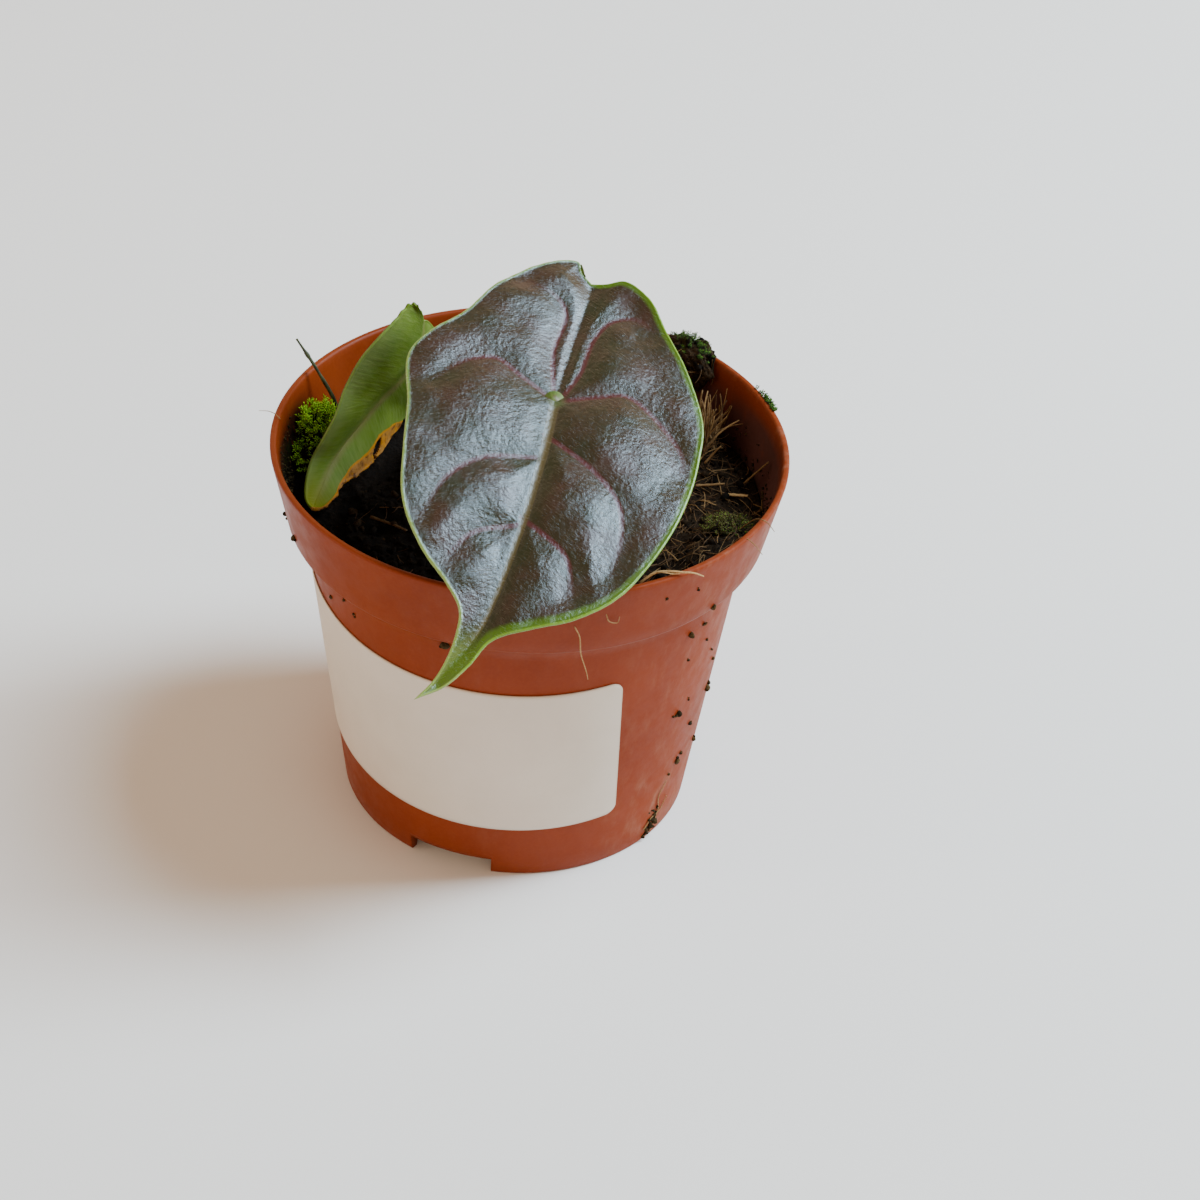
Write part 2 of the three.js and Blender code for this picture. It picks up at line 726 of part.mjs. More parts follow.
function tuftGeometry() {
  const draw = seeded(tuft.seed);
  const heart = new THREE.Vector3(tuft.x, tuft.y, soilHeight(tuft.x, tuft.y) + 2.1);
  const limit = innerRadius(pot.height) - 1.6;
  const root = new THREE.SphereGeometry(1.6, 8, 6);
  root.translate(...heart.toArray());
  let solid = toSolid(root);
  for (let i = 0; i < tuft.fibres; i += 1) {
    const heading = mix(-1.3, 0.6, draw());
    const rise = mix(0.35, 1.1, draw());
    const reach = tuft.length * mix(0.7, 1.15, draw());
    const level = reach * Math.cos(rise);
    const tip = heart.clone();
    tip.x -= 0.55 * level * Math.sin(heading);
    tip.y += level * Math.cos(heading);
    tip.z += reach * Math.sin(rise);
    const radius = Math.hypot(tip.x, tip.y);
    if (radius > limit) {
      tip.x *= limit / radius;
      tip.y *= limit / radius;
    }
    tip.z = Math.max(tip.z, soilHeight(tip.x, tip.y) + 1.2);
    const middle = heart.clone().lerp(tip, 0.5);
    middle.z += 0.8 * draw();
    const route = new THREE.CatmullRomCurve3([heart, middle, tip]);
    solid = solid.add(toSolid(stem(route, (t) => mix(tuft.radius, 0.3, t), 4, 4)));
  }
  return toGeometry(solid);
}

const straws = [
  { name: 'coir_straw_1', from: [34.4, 3.6, 0.4], to: [38.6, 2.3, 1.4], radius: 0.42 },
  { name: 'coir_straw_2', from: [38.2, 6.6, 1], to: [41.8, 4.6, 7.2], radius: 0.34 },
  { name: 'coir_straw_3', from: [29.6, 6.3, 0.4], to: [34.6, 5.5, 1.6], radius: 0.36 },
  { name: 'coir_straw_4', from: [-27, -8, 0.4], to: [-20.5, -12.5, 0.8], radius: 0.34 },
];

// Each end of a straw is its place and how far its underside is above the soil.
function strawGeometry({ from, to, radius }) {
  const steps = 4;
  const points = [];
  for (let i = 0; i <= steps; i += 1) {
    const [x, y, clear] = from.map((start, axis) => mix(start, to[axis], i / steps));
    points.push([x, y, soilHeight(x, y) + radius + clear]);
  }
  return stem(curveThrough(points), () => radius, 5, 8);
}

// One fibre lies across the rim at the front right and hangs a little way down outside.
function rimFibreGeometry() {
  const top = pot.height + touchGap + 0.45;
  const route = curveThrough([
    [18.8, -38.1, 70.8],
    [21.3, -37.2, top - 0.35],
    [23.6, -37, top],
    [25.6, -36.9, top],
    [27.5, -36.4, top - 0.5],
    [29.4, -35, top - 2],
  ]);
  return stem(route, () => 0.33, 5, 14);
}

// Assembly
const group = new THREE.Group();

function addPiece(name, geometry, material) {
  const mesh = new THREE.Mesh(geometry, material);
  mesh.name = name;
  group.add(mesh);
}

addPiece('pot', potGeometry(), materials.pot);
addPiece('label', labelGeometry(), materials.label);
addPiece('soil', soilGeometry(), materials.soil);
addPiece('stem_base', stemBaseGeometry(), materials.stemBase);
addPiece('petiole_main', mainPetioleGeometry(), materials.petiole);
addPiece('leaf_main', bladeGeometry(placeOnMain, mainLeaf.thickness, 51, 14), materials.mainLeaf);
addPiece('petiole_second', secondPetioleGeometry(), materials.petiole);
addPiece('leaf_second', secondBladeGeometry(), materials.secondLeaf);
addPiece('dry_stalk', stalkGeometry(), materials.stalk);
addPiece('moss_left', mossLeftGeometry(), materials.moss);
addPiece('moss_right', cushionGeometry(mossRight), materials.moss);
addPiece('peat_clump', clumpGeometry(), materials.clump);
addPiece('coir_tuft', tuftGeometry(), materials.coir);
for (const straw of straws) {
  addPiece(straw.name, strawGeometry(straw), materials.coir);
}
addPiece('rim_fibre', rimFibreGeometry(), materials.coir);

const footprint = new THREE.Box3().setFromObject(group, true);
group.position.x = -(footprint.min.x + footprint.max.x) / 2;
group.position.y = -(footprint.min.y + footprint.max.y) / 2;

export default group;
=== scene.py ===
"""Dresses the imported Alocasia: finer meshes, procedural materials, light and a camera.

All sizes are millimetres round the pot's axis with the bench at z = 0, and -Y towards the viewer,
until new_mesh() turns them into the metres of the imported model's frame. The sizes of the pot, of
the label and of both blades are those of the solids that the pieces stand for.
"""
import itertools
import math
import random

import bmesh
import bpy
import numpy as np
from mathutils import Matrix, Vector
from mathutils.kdtree import KDTree


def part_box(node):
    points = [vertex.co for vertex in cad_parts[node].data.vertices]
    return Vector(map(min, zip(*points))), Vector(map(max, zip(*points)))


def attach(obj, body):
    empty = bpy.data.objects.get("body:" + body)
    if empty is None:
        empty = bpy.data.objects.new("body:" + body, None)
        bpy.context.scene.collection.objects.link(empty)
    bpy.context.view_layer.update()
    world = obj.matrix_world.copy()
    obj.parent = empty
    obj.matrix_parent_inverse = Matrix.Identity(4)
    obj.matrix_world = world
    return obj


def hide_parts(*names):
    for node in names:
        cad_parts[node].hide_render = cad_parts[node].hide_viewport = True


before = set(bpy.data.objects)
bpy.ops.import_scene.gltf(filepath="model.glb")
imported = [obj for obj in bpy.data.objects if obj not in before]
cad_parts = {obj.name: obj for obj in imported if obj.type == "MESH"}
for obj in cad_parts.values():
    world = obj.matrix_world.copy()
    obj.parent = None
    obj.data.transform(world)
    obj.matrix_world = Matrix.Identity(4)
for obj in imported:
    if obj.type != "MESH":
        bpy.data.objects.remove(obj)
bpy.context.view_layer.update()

MM = 0.001
pot_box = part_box("pot")
POT_AXIS = np.array([
    (pot_box[0].x + pot_box[1].x) / 2,
    (pot_box[0].y + pot_box[1].y) / 2,
    0.0,
])
UP = np.array([0.0, 0.0, 1.0])

# Driving dimensions
RIM_HEIGHT = 72.0
RIM_RADIUS = 45.0
COLLAR_HEIGHT = 58.0
COLLAR_RADIUS = 42.0
WALL_TOP_RADIUS = 39.0
BASE_RADIUS = 31.6
WALL = 1.2
FLOOR_UNDER = 3.8
FLOOR_TOP = 5.2
LEDGE_FOOT = COLLAR_HEIGHT - 0.6
LEDGE_TOP = COLLAR_HEIGHT + 1.2
NOTCH_HEIGHT = 3.4
NOTCH_WIDTH = 28.0
NOTCH_ANGLES = (-20.0, 100.0, 220.0)
DRAIN_RADIUS = 2.6
DRAIN_RING = 18.0
DRAIN_COUNT = 6
SOIL_LEVEL = 59.4
SOIL_EDGE = 59.9
STEM = (1.5, 5.0)


# Numbers
def mix(a, b, share):
    return a + (b - a) * share


def smooth(low, high, value):
    """0 below low, 1 above high and a smooth rise between them."""
    share = np.clip((np.asarray(value, float) - low) / (high - low), 0, 1)
    return share * share * (3 - 2 * share)


def unit(vectors):
    vectors = np.asarray(vectors, float)
    length = np.linalg.norm(vectors, axis=-1, keepdims=True)
    return vectors / np.maximum(length, 1e-9)


def polar(radius, angle, z):
    """A place at a radius, an angle from the front turning right in degrees, and a height."""
    turn = np.radians(angle)
    parts = np.broadcast_arrays(radius * np.sin(turn), -radius * np.cos(turn), z)
    return np.stack(parts, -1).astype(float)


def value_noise(points, seed=0):
    """Smooth noise between -1 and 1 at an array of points in space, one bump a unit."""
    points = np.asarray(points, float)
    cell = np.floor(points).astype(np.int64)
    part = points - cell
    blend = part * part * (3 - 2 * part)
    total = np.zeros(points.shape[:-1])
    for corner in itertools.product((0, 1), repeat=3):
        lattice = cell + corner
        mixed = lattice[..., 0] * 73856093 ^ lattice[..., 1] * 19349663
        mixed = (mixed ^ lattice[..., 2] * 83492791 ^ seed * 7919) & 0x7FFFFFFF
        mixed = ((mixed ^ (mixed >> 15)) * 739982445) & 0x7FFFFFFF
        mixed = ((mixed ^ (mixed >> 13)) * 695872825) & 0x7FFFFFFF
        value = ((mixed ^ (mixed >> 12)) & 0xFFFF) / 32767.5 - 1
        weight = np.prod(np.where(np.array(corner) == 1, blend, 1 - blend), axis=-1)
        total += value * weight
    return total


def fractal(points, size, octaves=4, seed=0):
    """Noise whose largest bumps are size millimetres wide, with finer ones on them."""
    points = np.asarray(points, float)
    total = np.zeros(points.shape[:-1])
    strength = 1.0
    for octave in range(octaves):
        total += strength * value_noise(points * 2 ** octave / size, seed + octave)
        strength /= 2
    return total


def spline(knots, q):
    """A centripetal Catmull-Rom curve through the knots. q runs from 0 to 1, and every span of
    knots takes the same share of it."""
    knots = np.asarray(knots, float)
    place = np.clip(np.asarray(q, float), 0, 1) * (len(knots) - 1)
    span = np.minimum(place.astype(int), len(knots) - 2)
    share = (place - span)[..., None]
    padded = np.vstack([2 * knots[0] - knots[1], knots, 2 * knots[-1] - knots[-2]])
    p0, p1, p2, p3 = (padded[span + i] for i in range(4))

    def gap(a, b):
        return np.sqrt(np.linalg.norm(b - a, axis=-1, keepdims=True))

    middle = gap(p1, p2)
    middle = np.where(middle < 1e-4, 1.0, middle)
    before = gap(p0, p1)
    before = np.where(before < 1e-4, middle, before)
    after = gap(p2, p3)
    after = np.where(after < 1e-4, middle, after)
    start = (p1 - p0) / before - (p2 - p0) / (before + middle) + (p2 - p1) / middle
    end = (p2 - p1) / middle - (p3 - p1) / (middle + after) + (p3 - p2) / after
    start, end = start * middle, end * middle
    cubic = 2 * p1 - 2 * p2 + start + end
    square = -3 * p1 + 3 * p2 - 2 * start - end
    return p1 + start * share + square * share ** 2 + cubic * share ** 3


class Nearest:
    """Finds how far points are from a curve, or from several, drawn as close samples."""

    def __init__(self, samples):
        samples = np.asarray(samples, float)
        self.tree = KDTree(len(samples))
        for number, sample in enumerate(samples):
            self.tree.insert(np.resize(np.append(sample, 0.0), 3), number)
        self.tree.balance()

    def find(self, points):
        """The distance to the nearest sample and the number of that sample."""
        points = np.asarray(points, float)
        flat = points.reshape(-1, points.shape[-1])
        if flat.shape[1] == 2:
            flat = np.hstack([flat, np.zeros((len(flat), 1))])
        found = np.array([self.tree.find(point)[1:] for point in flat])
        numbers, distances = found.T.reshape(2, *points.shape[:-1])
        return distances, numbers.astype(int)


# Meshes
def add_object(name, data):
    thing = bpy.data.objects.new(name, data)
    bpy.context.scene.collection.objects.link(thing)
    return thing


def new_mesh(name, points, faces):
    mesh = bpy.data.meshes.new(name)
    mesh.from_pydata((np.asarray(points) * MM + POT_AXIS).tolist(), [], faces)
    return mesh


def add_values(mesh, values):
    """Stores numbers or vectors at a mesh's points, where its material reads them."""
    for key, numbers in values.items():
        numbers = np.asarray(numbers, float)
        plain = numbers.ndim == 1
        layer = mesh.attributes.new(key, "FLOAT" if plain else "FLOAT_VECTOR", "POINT")
        layer.data.foreach_set("value" if plain else "vector", numbers.ravel())


def add_piece(name, points, faces, material, slot, replaced=(), values=None):
    """A finished piece of the plant: closed, smooth, facing out, and riding on the one body."""
    mesh = new_mesh(name, points, faces)
    add_values(mesh, values or {})
    face_out(mesh)
    mesh.materials.append(material)
    piece = add_object(name, mesh)
    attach(piece, "root")
    if replaced:
        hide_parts(*replaced)
    return piece


def face_out(mesh):
    shape = bmesh.new()
    shape.from_mesh(mesh)
    bmesh.ops.recalc_face_normals(shape, faces=shape.faces)
    shape.to_mesh(mesh)
    shape.free()
    mesh.shade_smooth()


def loft(rings):
    """A closed body through rings of equal counts, with a fan over each end."""
    rings = np.asarray(rings, float)
    rows, columns = rings.shape[:2]
    points = np.vstack([rings.reshape(-1, 3), rings[0].mean(0), rings[-1].mean(0)])
    around = [(j, (j + 1) % columns) for j in range(columns)]
    faces = []
    for first in range(0, (rows - 1) * columns, columns):
        faces += [(first + j, first + k, first + k + columns, first + j + columns)
                  for j, k in around]
    last = (rows - 1) * columns
    for j, k in around:
        faces.append((k, j, rows * columns))
        faces.append((last + j, last + k, rows * columns + 1))
    return points, faces


def tube(path, radii, sides=5, flat=1.0):
    """A closed tube along a path of points. flat squeezes it across."""
    path = np.asarray(path, float)
    along = unit(np.gradient(path, axis=0))
    start = UP if abs(along[0, 2]) < 0.9 else np.array([1.0, 0.0, 0.0])
    across = unit(np.cross(along[0], start))
    turns = 2 * np.pi * np.arange(sides) / sides
    rings = []
    for place, direction, radius in zip(path, along, np.broadcast_to(radii, len(path))):
        across = unit(across - direction * np.dot(across, direction))
        third = np.cross(direction, across)
        ring = np.outer(np.cos(turns), across) + np.outer(np.sin(turns), third) * flat
        rings.append(place + radius * ring)
    return loft(rings)


class Pile:
    """Many small closed shapes gathered into one piece, each with its own shade."""

    def __init__(self):
        self.points = []
        self.faces = []
        self.shades = []
        self.count = 0

    def add(self, shape, shade=0.5):
        points, faces = shape
        self.points.append(points)
        self.faces += [tuple(corner + self.count for corner in face) for face in faces]
        self.shades.append(np.full(len(points), float(shade)))
        self.count += len(points)

    def finish(self, name, material, slot, replaced=()):
        shades = {"shade": np.concatenate(self.shades)}
        points = np.vstack(self.points)
        return add_piece(name, points, self.faces, material, slot, replaced, shades)


def icosphere(level):
    shape = bmesh.new()
    bmesh.ops.create_icosphere(shape, subdivisions=level, radius=1.0)
    points = np.array([vertex.co for vertex in shape.verts])
    faces = [tuple(vertex.index for vertex in face.verts) for face in shape.faces]
    shape.free()
    return points, faces


GRAIN_BALL = icosphere(2)


def any_way(draw, spread=1):
    return [draw.gauss(0, spread) for _ in range(3)]


def random_turn(draw):
    axis = Vector(any_way(draw)).normalized()
    return np.array(Matrix.Rotation(draw.uniform(0, 2 * math.pi), 3, axis))


def lump(draw, centre, size, ball=GRAIN_BALL, rough=0.35):
    """A crumb: a ball with a broken, uneven surface."""
    points, faces = ball
    shift = np.array([draw.uniform(-50, 50) for _ in range(3)])
    bumps = 1 + rough * fractal(points + shift, 0.9, 2)
    stretch = np.array([draw.uniform(0.7, 1.3), draw.uniform(0.6, 1.1), draw.uniform(0.5, 1.0)])
    shaped = points * bumps[:, None] * stretch * size
    return shaped @ random_turn(draw).T + np.asarray(centre, float), faces


def fibre(draw, start, heading, rise, length, radius, curl, steps=9):
    """A loose fibre from a start, with a heading and a rise in degrees, bending as it goes."""
    path = [np.asarray(start, float)]
    turn = draw.uniform(-1, 1) * curl
    dip = draw.uniform(-1, 1) * curl
    for _ in range(steps):
        heading += turn * 18 + draw.uniform(-1, 1) * curl * 14
        rise += dip * 10 + draw.uniform(-1, 1) * curl * 9
        step = polar(math.cos(math.radians(rise)), heading, math.sin(math.radians(rise)))
        path.append(path[-1] + step * length / steps)
    ends = np.linspace(0, 1, steps + 1)
    return np.array(path), radius * (1 - 0.55 * ends ** 2)


# Shader nodes
def set_stops(elements, stops):
    """Gives a colour ramp its stops, each a place and a colour."""
    while len(elements) < len(stops):
        elements.new(0.5)
    for element, (place, colour) in zip(elements, stops):
        element.position = place
        element.color = (*colour, 1.0)


class Shader:
    """One material's nodes, with a short call for each kind used here."""

    def __init__(self, name, **constants):
        self.material = bpy.data.materials.new(name)
        self.material.use_nodes = True
        self.tree = self.material.node_tree
        self.surface = self.tree.nodes["Principled BSDF"]
        for key, value in constants.items():
            self.surface.inputs[key.replace("_", " ")].default_value = value

    def join(self, source, target):
        if isinstance(source, bpy.types.NodeSocket):
            self.tree.links.new(source, target)
        elif target.type == "RGBA" and len(source) == 3:
            target.default_value = (*source, 1.0)
        else:
            target.default_value = source

    def node(self, kind, output, sockets=None, **settings):
        """Adds a node, fills its sockets and gives one of its outputs."""
        node = self.tree.nodes.new("ShaderNode" + kind)
        for key, setting in settings.items():
            setattr(node, key, setting)
        for key, source in (sockets or {}).items():
            self.join(source, node.inputs[key])
        return node.outputs[output]

    def value(self, name, output="Fac"):
        return self.node("Attribute", output, attribute_name=name)

    def place(self, scale=(1, 1, 1)):
        """The place on the plant in millimetres, stretched by scale."""
        sockets = {
            "Vector": self.node("TexCoord", "Object"),
            "Scale": [part / MM for part in scale],
        }
        return self.node("Mapping", "Vector", sockets)

    def noise(self, vector, scale, detail=3.0, roughness=0.55):
        sockets = {"Vector": vector, "Scale": scale, "Detail": detail, "Roughness": roughness}
        return self.node("TexNoise", "Fac", sockets)

    def cells(self, vector, scale):
        return self.node("TexVoronoi", "Distance", {"Vector": vector, "Scale": scale})

    def math(self, operation, a, b):
        return self.node("Math", 0, {0: a, 1: b}, operation=operation)

    def plus(self, a, b):
        return self.math("ADD", a, b)

    def times(self, a, b):
        return self.math("MULTIPLY", a, b)

    def span(self, source, low, high, to_low=0.0, to_high=1.0):
        """A smooth rise from to_low to to_high as the source goes from low to high."""
        sockets = {
            "Value": source,
            "From Min": low,
            "From Max": high,
            "To Min": to_low,
            "To Max": to_high,
        }
        return self.node("MapRange", "Result", sockets, interpolation_type="SMOOTHSTEP")

    def blend(self, share, a, b, mode="MIX"):
        sockets = {"Factor": share, 6: a, 7: b}
        return self.node("Mix", 2, sockets, data_type="RGBA", blend_type=mode)

    def over(self, colour, *layers):
        """Lays colours over one another, each with its share."""
        for share, top in layers:
            colour = self.blend(share, colour, top)
        return colour

    def ramp(self, source, *stops):
        output = self.node("ValToRGB", "Color", {"Fac": source})
        set_stops(output.node.color_ramp.elements, stops)
        return output

    def bump(self, height, distance, strength=1.0):
        """Relief that is distance millimetres deep."""
        sockets = {"Distance": distance * MM, "Strength": strength, "Height": height}
        return self.node("Bump", "Normal", sockets)

    def finish(self, colour, roughness=None, normal=None):
        parts = {"Base Color": colour, "Roughness": roughness, "Normal": normal}
        for name, source in parts.items():
            if source is not None:
                self.join(source, self.surface.inputs[name])
        return self.material


# Pot
def outer_radius(z):
    z = np.asarray(z, float)
    wall = mix(BASE_RADIUS, WALL_TOP_RADIUS, z / COLLAR_HEIGHT)
    share = (z - COLLAR_HEIGHT) / (RIM_HEIGHT - COLLAR_HEIGHT)
    return np.where(z < COLLAR_HEIGHT, wall, mix(COLLAR_RADIUS, RIM_RADIUS, share))


def inner_radius(z):
    z = np.asarray(z, float)
    low, high = outer_radius(LEDGE_FOOT), outer_radius(LEDGE_TOP)
    share = np.clip((z - LEDGE_FOOT) / (LEDGE_TOP - LEDGE_FOOT), 0, 1)
    ledge = mix(low, high, share)
    between = (z > LEDGE_FOOT) & (z < LEDGE_TOP)
    return np.where(between, ledge, outer_radius(z)) - WALL


def on_wall(angle, z, gap):
    """A place in front of the outside of the pot."""
    return polar(outer_radius(z) + gap, angle, z)


def pot_material():
    s = Shader("pot_plastic", IOR=1.5, Specular_IOR_Level=0.12)
    place = s.place()
    cloud = s.noise(place, 0.05, 4.0)
    fine = s.noise(place, 1.6, 3.0)
    stain = s.noise(s.place((1, 1, 0.6)), 0.16, 5.0, 0.62)
    powder = s.noise(s.place((1, 1, 0.4)), 0.35, 5.0, 0.65)
    dirt_and_shade, peat, dust_and_sheen = s.value("dirt_and_shade"), s.value("peat"), s.value("dust_and_sheen")
    colour = s.over(
        s.ramp(cloud, (0.3, (0.160, 0.022, 0.0028)), (0.7, (0.200, 0.031, 0.0046))),
        (s.span(fine, 0.35, 0.75, 0.0, 0.18), (0.25, 0.048, 0.010)),
        # Dirt and painted shade: a dark wine brown on the right inner wall below the rim, and low
        # inside the pot.
        (s.times(s.span(stain, 0.12, 0.42), dirt_and_shade), (0.066, 0.023, 0.021)),
        (s.times(s.span(stain, 0.3, 0.45), peat), (0.008, 0.005, 0.003)),
        # Dust and painted sheen: a paler, duller brown on the outside towards the window at the
        # right, and on the rim there.
        (s.times(s.span(powder, 0.45, 0.8), dust_and_sheen), (0.24, 0.090, 0.050)),
    )
    rough = s.span(s.noise(place, 0.35, 5.0), 0.3, 0.7, 0.36, 0.48)
    rough = s.plus(s.plus(rough, s.times(dirt_and_shade, 0.25)), s.times(dust_and_sheen, 0.15))
    relief = s.plus(s.noise(place, 2.4, 2.0), s.times(cloud, 2.0))
    return s.finish(colour, rough, s.bump(relief, 0.02, 0.8))


def pot_profile():
    """Radius and height round the section of the wall, from the middle of the underside, out,
    up, over the rim and back down to the middle of the floor."""
    def outside(*heights):
        return [(float(outer_radius(z)), z) for z in heights]

    def inside(*heights):
        return [(float(inner_radius(z)), z) for z in heights]

    lip = RIM_HEIGHT - 0.55
    return [
        (0.0, FLOOR_UNDER),
        (BASE_RADIUS - 1.9, FLOOR_UNDER),
        (BASE_RADIUS - 1.45, 0.3),
        (BASE_RADIUS - 1.35, 0.0),
        (BASE_RADIUS - 0.2, 0.0),
        *outside(*np.linspace(0.5, LEDGE_FOOT, 16)),
        (COLLAR_RADIUS - 0.4, COLLAR_HEIGHT),
        (COLLAR_RADIUS - 0.05, COLLAR_HEIGHT + 0.15),
        *outside(*np.linspace(COLLAR_HEIGHT + 0.45, lip - 1, 6), lip),
        (RIM_RADIUS - 0.13, RIM_HEIGHT - 0.2),
        (RIM_RADIUS - 0.32, RIM_HEIGHT - 0.05),
        (RIM_RADIUS - 0.5, RIM_HEIGHT),
        (RIM_RADIUS - WALL + 0.3, RIM_HEIGHT),
        (RIM_RADIUS - WALL + 0.1, RIM_HEIGHT - 0.08),
        *inside(lip, *np.linspace(lip - 1, LEDGE_TOP, 6)),
        *inside(*np.linspace(LEDGE_FOOT, FLOOR_TOP + 0.6, 8)),
        (float(inner_radius(FLOOR_TOP)) - 0.6, FLOOR_TOP),
        (0.0, FLOOR_TOP),
    ]


def make_pot(material):
    sides = 240
    profile = pot_profile()
    angles = np.arange(sides) * 360 / sides
    rings = [polar(radius, angles, z) for radius, z in profile[1:-1]]
    points, faces = loft(rings)
    points[-2] = (0, 0, FLOOR_UNDER)
    points[-1] = (0, 0, FLOOR_TOP)
    piece = add_piece("pot_shell", points, faces, material, "pot_plastic", ["pot"])
    cutters = []
    for angle in NOTCH_ANGLES:
        turns = angle + np.linspace(-NOTCH_WIDTH / 2, NOTCH_WIDTH / 2, 12)
        outline = np.vstack([
            polar(BASE_RADIUS + 3, turns, 0),
            polar(BASE_RADIUS - 4, turns[::-1], 0),
        ])
        cutters.append(loft([outline - UP, outline + UP * NOTCH_HEIGHT]))
    for number in range(DRAIN_COUNT):
        centre = polar(DRAIN_RING, (number + 0.5) * 360 / DRAIN_COUNT, 0)
        circle = centre + polar(DRAIN_RADIUS, np.arange(36) * 10, 0)
        cutters.append(loft([circle + UP * (FLOOR_UNDER - 1), circle + UP * (FLOOR_TOP + 1)]))
    cut(piece, cutters)
    add_pot_wear_and_painted_light(piece.data)
    return piece


def cut(piece, shapes):
    """Takes closed shapes out of a piece."""
    gathered = Pile()
    for shape in shapes:
        gathered.add(shape)
    mesh = new_mesh("cutter", np.vstack(gathered.points), gathered.faces)
    face_out(mesh)
    cutter = add_object("cutter", mesh)
    modifier = piece.modifiers.new("cut", "BOOLEAN")
    modifier.operation = "DIFFERENCE"
    modifier.solver = "EXACT"
    modifier.object = cutter
    bpy.context.view_layer.update()
    graph = bpy.context.evaluated_depsgraph_get()
    result = bpy.data.meshes.new_from_object(piece.evaluated_get(graph))
    piece.modifiers.clear()
    piece.data = result
    bpy.data.objects.remove(cutter)


def add_pot_wear_and_painted_light(mesh):
    """Marks where the plastic is dirty and in painted shade inside, and dusty with a painted sheen
    outside.
    """
    points = np.zeros(len(mesh.vertices) * 3)
    mesh.vertices.foreach_get("co", points)
    x, y, z = ((points.reshape(-1, 3) - POT_AXIS) / MM).T
    radius = np.hypot(x, y)
    angle = np.degrees(np.arctan2(x, -y))
    inside = (radius < outer_radius(z) - WALL / 2) & (z > FLOOR_TOP)
    # Dirt and painted shade on the right inner wall, which faces away from the window, below a line
    # under the rim.
    right = smooth(20, 60, angle) * (1 - smooth(140, 175, angle))
    plain_above = mix(70.6, 68.2, smooth(88, 128, angle))
    dirt_and_shade = inside * (right * smooth(1.6, -1.6, z - plain_above) + 0.5 * (1 - smooth(60, 65, z)))
    left = smooth(-116, -104, angle) * (1 - smooth(-66, -52, angle))
    peat = inside * np.maximum(left * (1 - smooth(67.5, 70.5, z)), 1 - smooth(59.5, 62, z))
    # Dust and a painted sheen on the outside that faces the window, heavier near the foot and on
    # the rim's top.
    near = smooth(20, 52, angle) * (1 - smooth(95, 150, angle))
    dust_and_sheen = ~inside * (0.12 + 0.45 * near + 0.4 * near * (1 - smooth(6, 26, z)))
    dust_and_sheen = dust_and_sheen + 0.9 * near * smooth(70.6, 71.6, z)
    wear_and_light = {"dirt_and_shade": dirt_and_shade, "peat": peat, "dust_and_sheen": dust_and_sheen}
    add_values(mesh, {key: np.clip(numbers, 0, 1) for key, numbers in wear_and_light.items()})


# Label
LABEL = {
    "width": 99.1,
    "height": 33.9,
    "corner": 2.2,
    "angle": -50.1,
    "middle": 29.6,
    "lean": 4.9,
    "gap": 0.12,
    "thickness": 0.16,
}


def label_material():
    s = Shader("label_paper", IOR=1.45, Specular_IOR_Level=0.4)
    place = s.place()
    tone = s.noise(place, 0.06, 4.0)
    fibres = s.noise(s.place((1, 1, 0.5)), 3.5, 4.0, 0.65)
    colour = s.ramp(tone, (0.3, (0.55, 0.50, 0.435)), (0.7, (0.61, 0.56, 0.495)))
    colour = s.blend(s.span(fibres, 0.5, 0.8, 0.0, 0.25), colour, (0.52, 0.475, 0.42))
    edge = s.span(s.value("edge"), 0.0, 0.35, 0.55, 0.0)
    colour = s.blend(edge, colour, (0.46, 0.33, 0.23))
    rough = s.span(fibres, 0.3, 0.7, 0.52, 0.64)
    return s.finish(colour, rough, s.bump(s.plus(fibres, tone), 0.02, 0.7))


def make_label(material):
    """A flat rectangle laid on the sheet that the wall's cone unrolls to."""
    columns, rows, corner_steps = 150, 40, 10
    corner, half = LABEL["corner"], LABEL["width"] / 2
    lean = math.radians(LABEL["lean"])
    bends = corner * (1 - np.cos(np.linspace(0, math.pi / 2, corner_steps + 1)[:-1])) - half
    middle = np.linspace(corner - half, half - corner, columns)
    across = np.concatenate([bends, middle, -bends[::-1]])
    inset = np.maximum(0, corner - (half - np.abs(across)))
    lost = corner - np.sqrt(np.maximum(0, corner ** 2 - inset ** 2))
    reach = LABEL["height"] / 2 - lost
    shares = np.linspace(-1, 1, rows)
    x = np.repeat(across[:, None], rows, 1)
    y = reach[:, None] * shares
    taper = math.atan((WALL_TOP_RADIUS - BASE_RADIUS) / COLLAR_HEIGHT)
    cone_tip = -BASE_RADIUS / math.tan(taper)
    sideways = x * math.cos(lean) + y * math.sin(lean)
    outward = (LABEL["middle"] - cone_tip) / math.cos(taper)
    outward = outward + y * math.cos(lean) - x * math.sin(lean)
    z = cone_tip + np.hypot(sideways, outward) * math.cos(taper)
    angle = LABEL["angle"] + np.degrees(np.arctan2(sideways, outward) / math.sin(taper))
    ripple = 0.05 * fractal(np.stack([x, y, 0 * x], -1), 14, 3, seed=5)
    edge = np.minimum(reach[:, None] - np.abs(y), half - np.abs(x))
    lift = LABEL["gap"] + ripple * smooth(0, 4, edge)
    inner = on_wall(angle, z, lift - 0.06)
    outer = on_wall(angle, z, lift + LABEL["thickness"])
    rings = np.concatenate([inner, outer[:, ::-1]], axis=1)
    points, faces = loft(rings)
    edges = np.concatenate([edge, edge[:, ::-1]], axis=1).ravel()
    values = {"edge": np.append(edges, [0, 0])}
    return add_piece("blank_label", points, faces, material, "label_paper", ["label"], values)


# Soil
HEAPS = ((1.5, 5, 1.6, 8), (-39, 11, 2.6, 5), (34, -17, 5.5, 7), (25, 33, 5, 7))


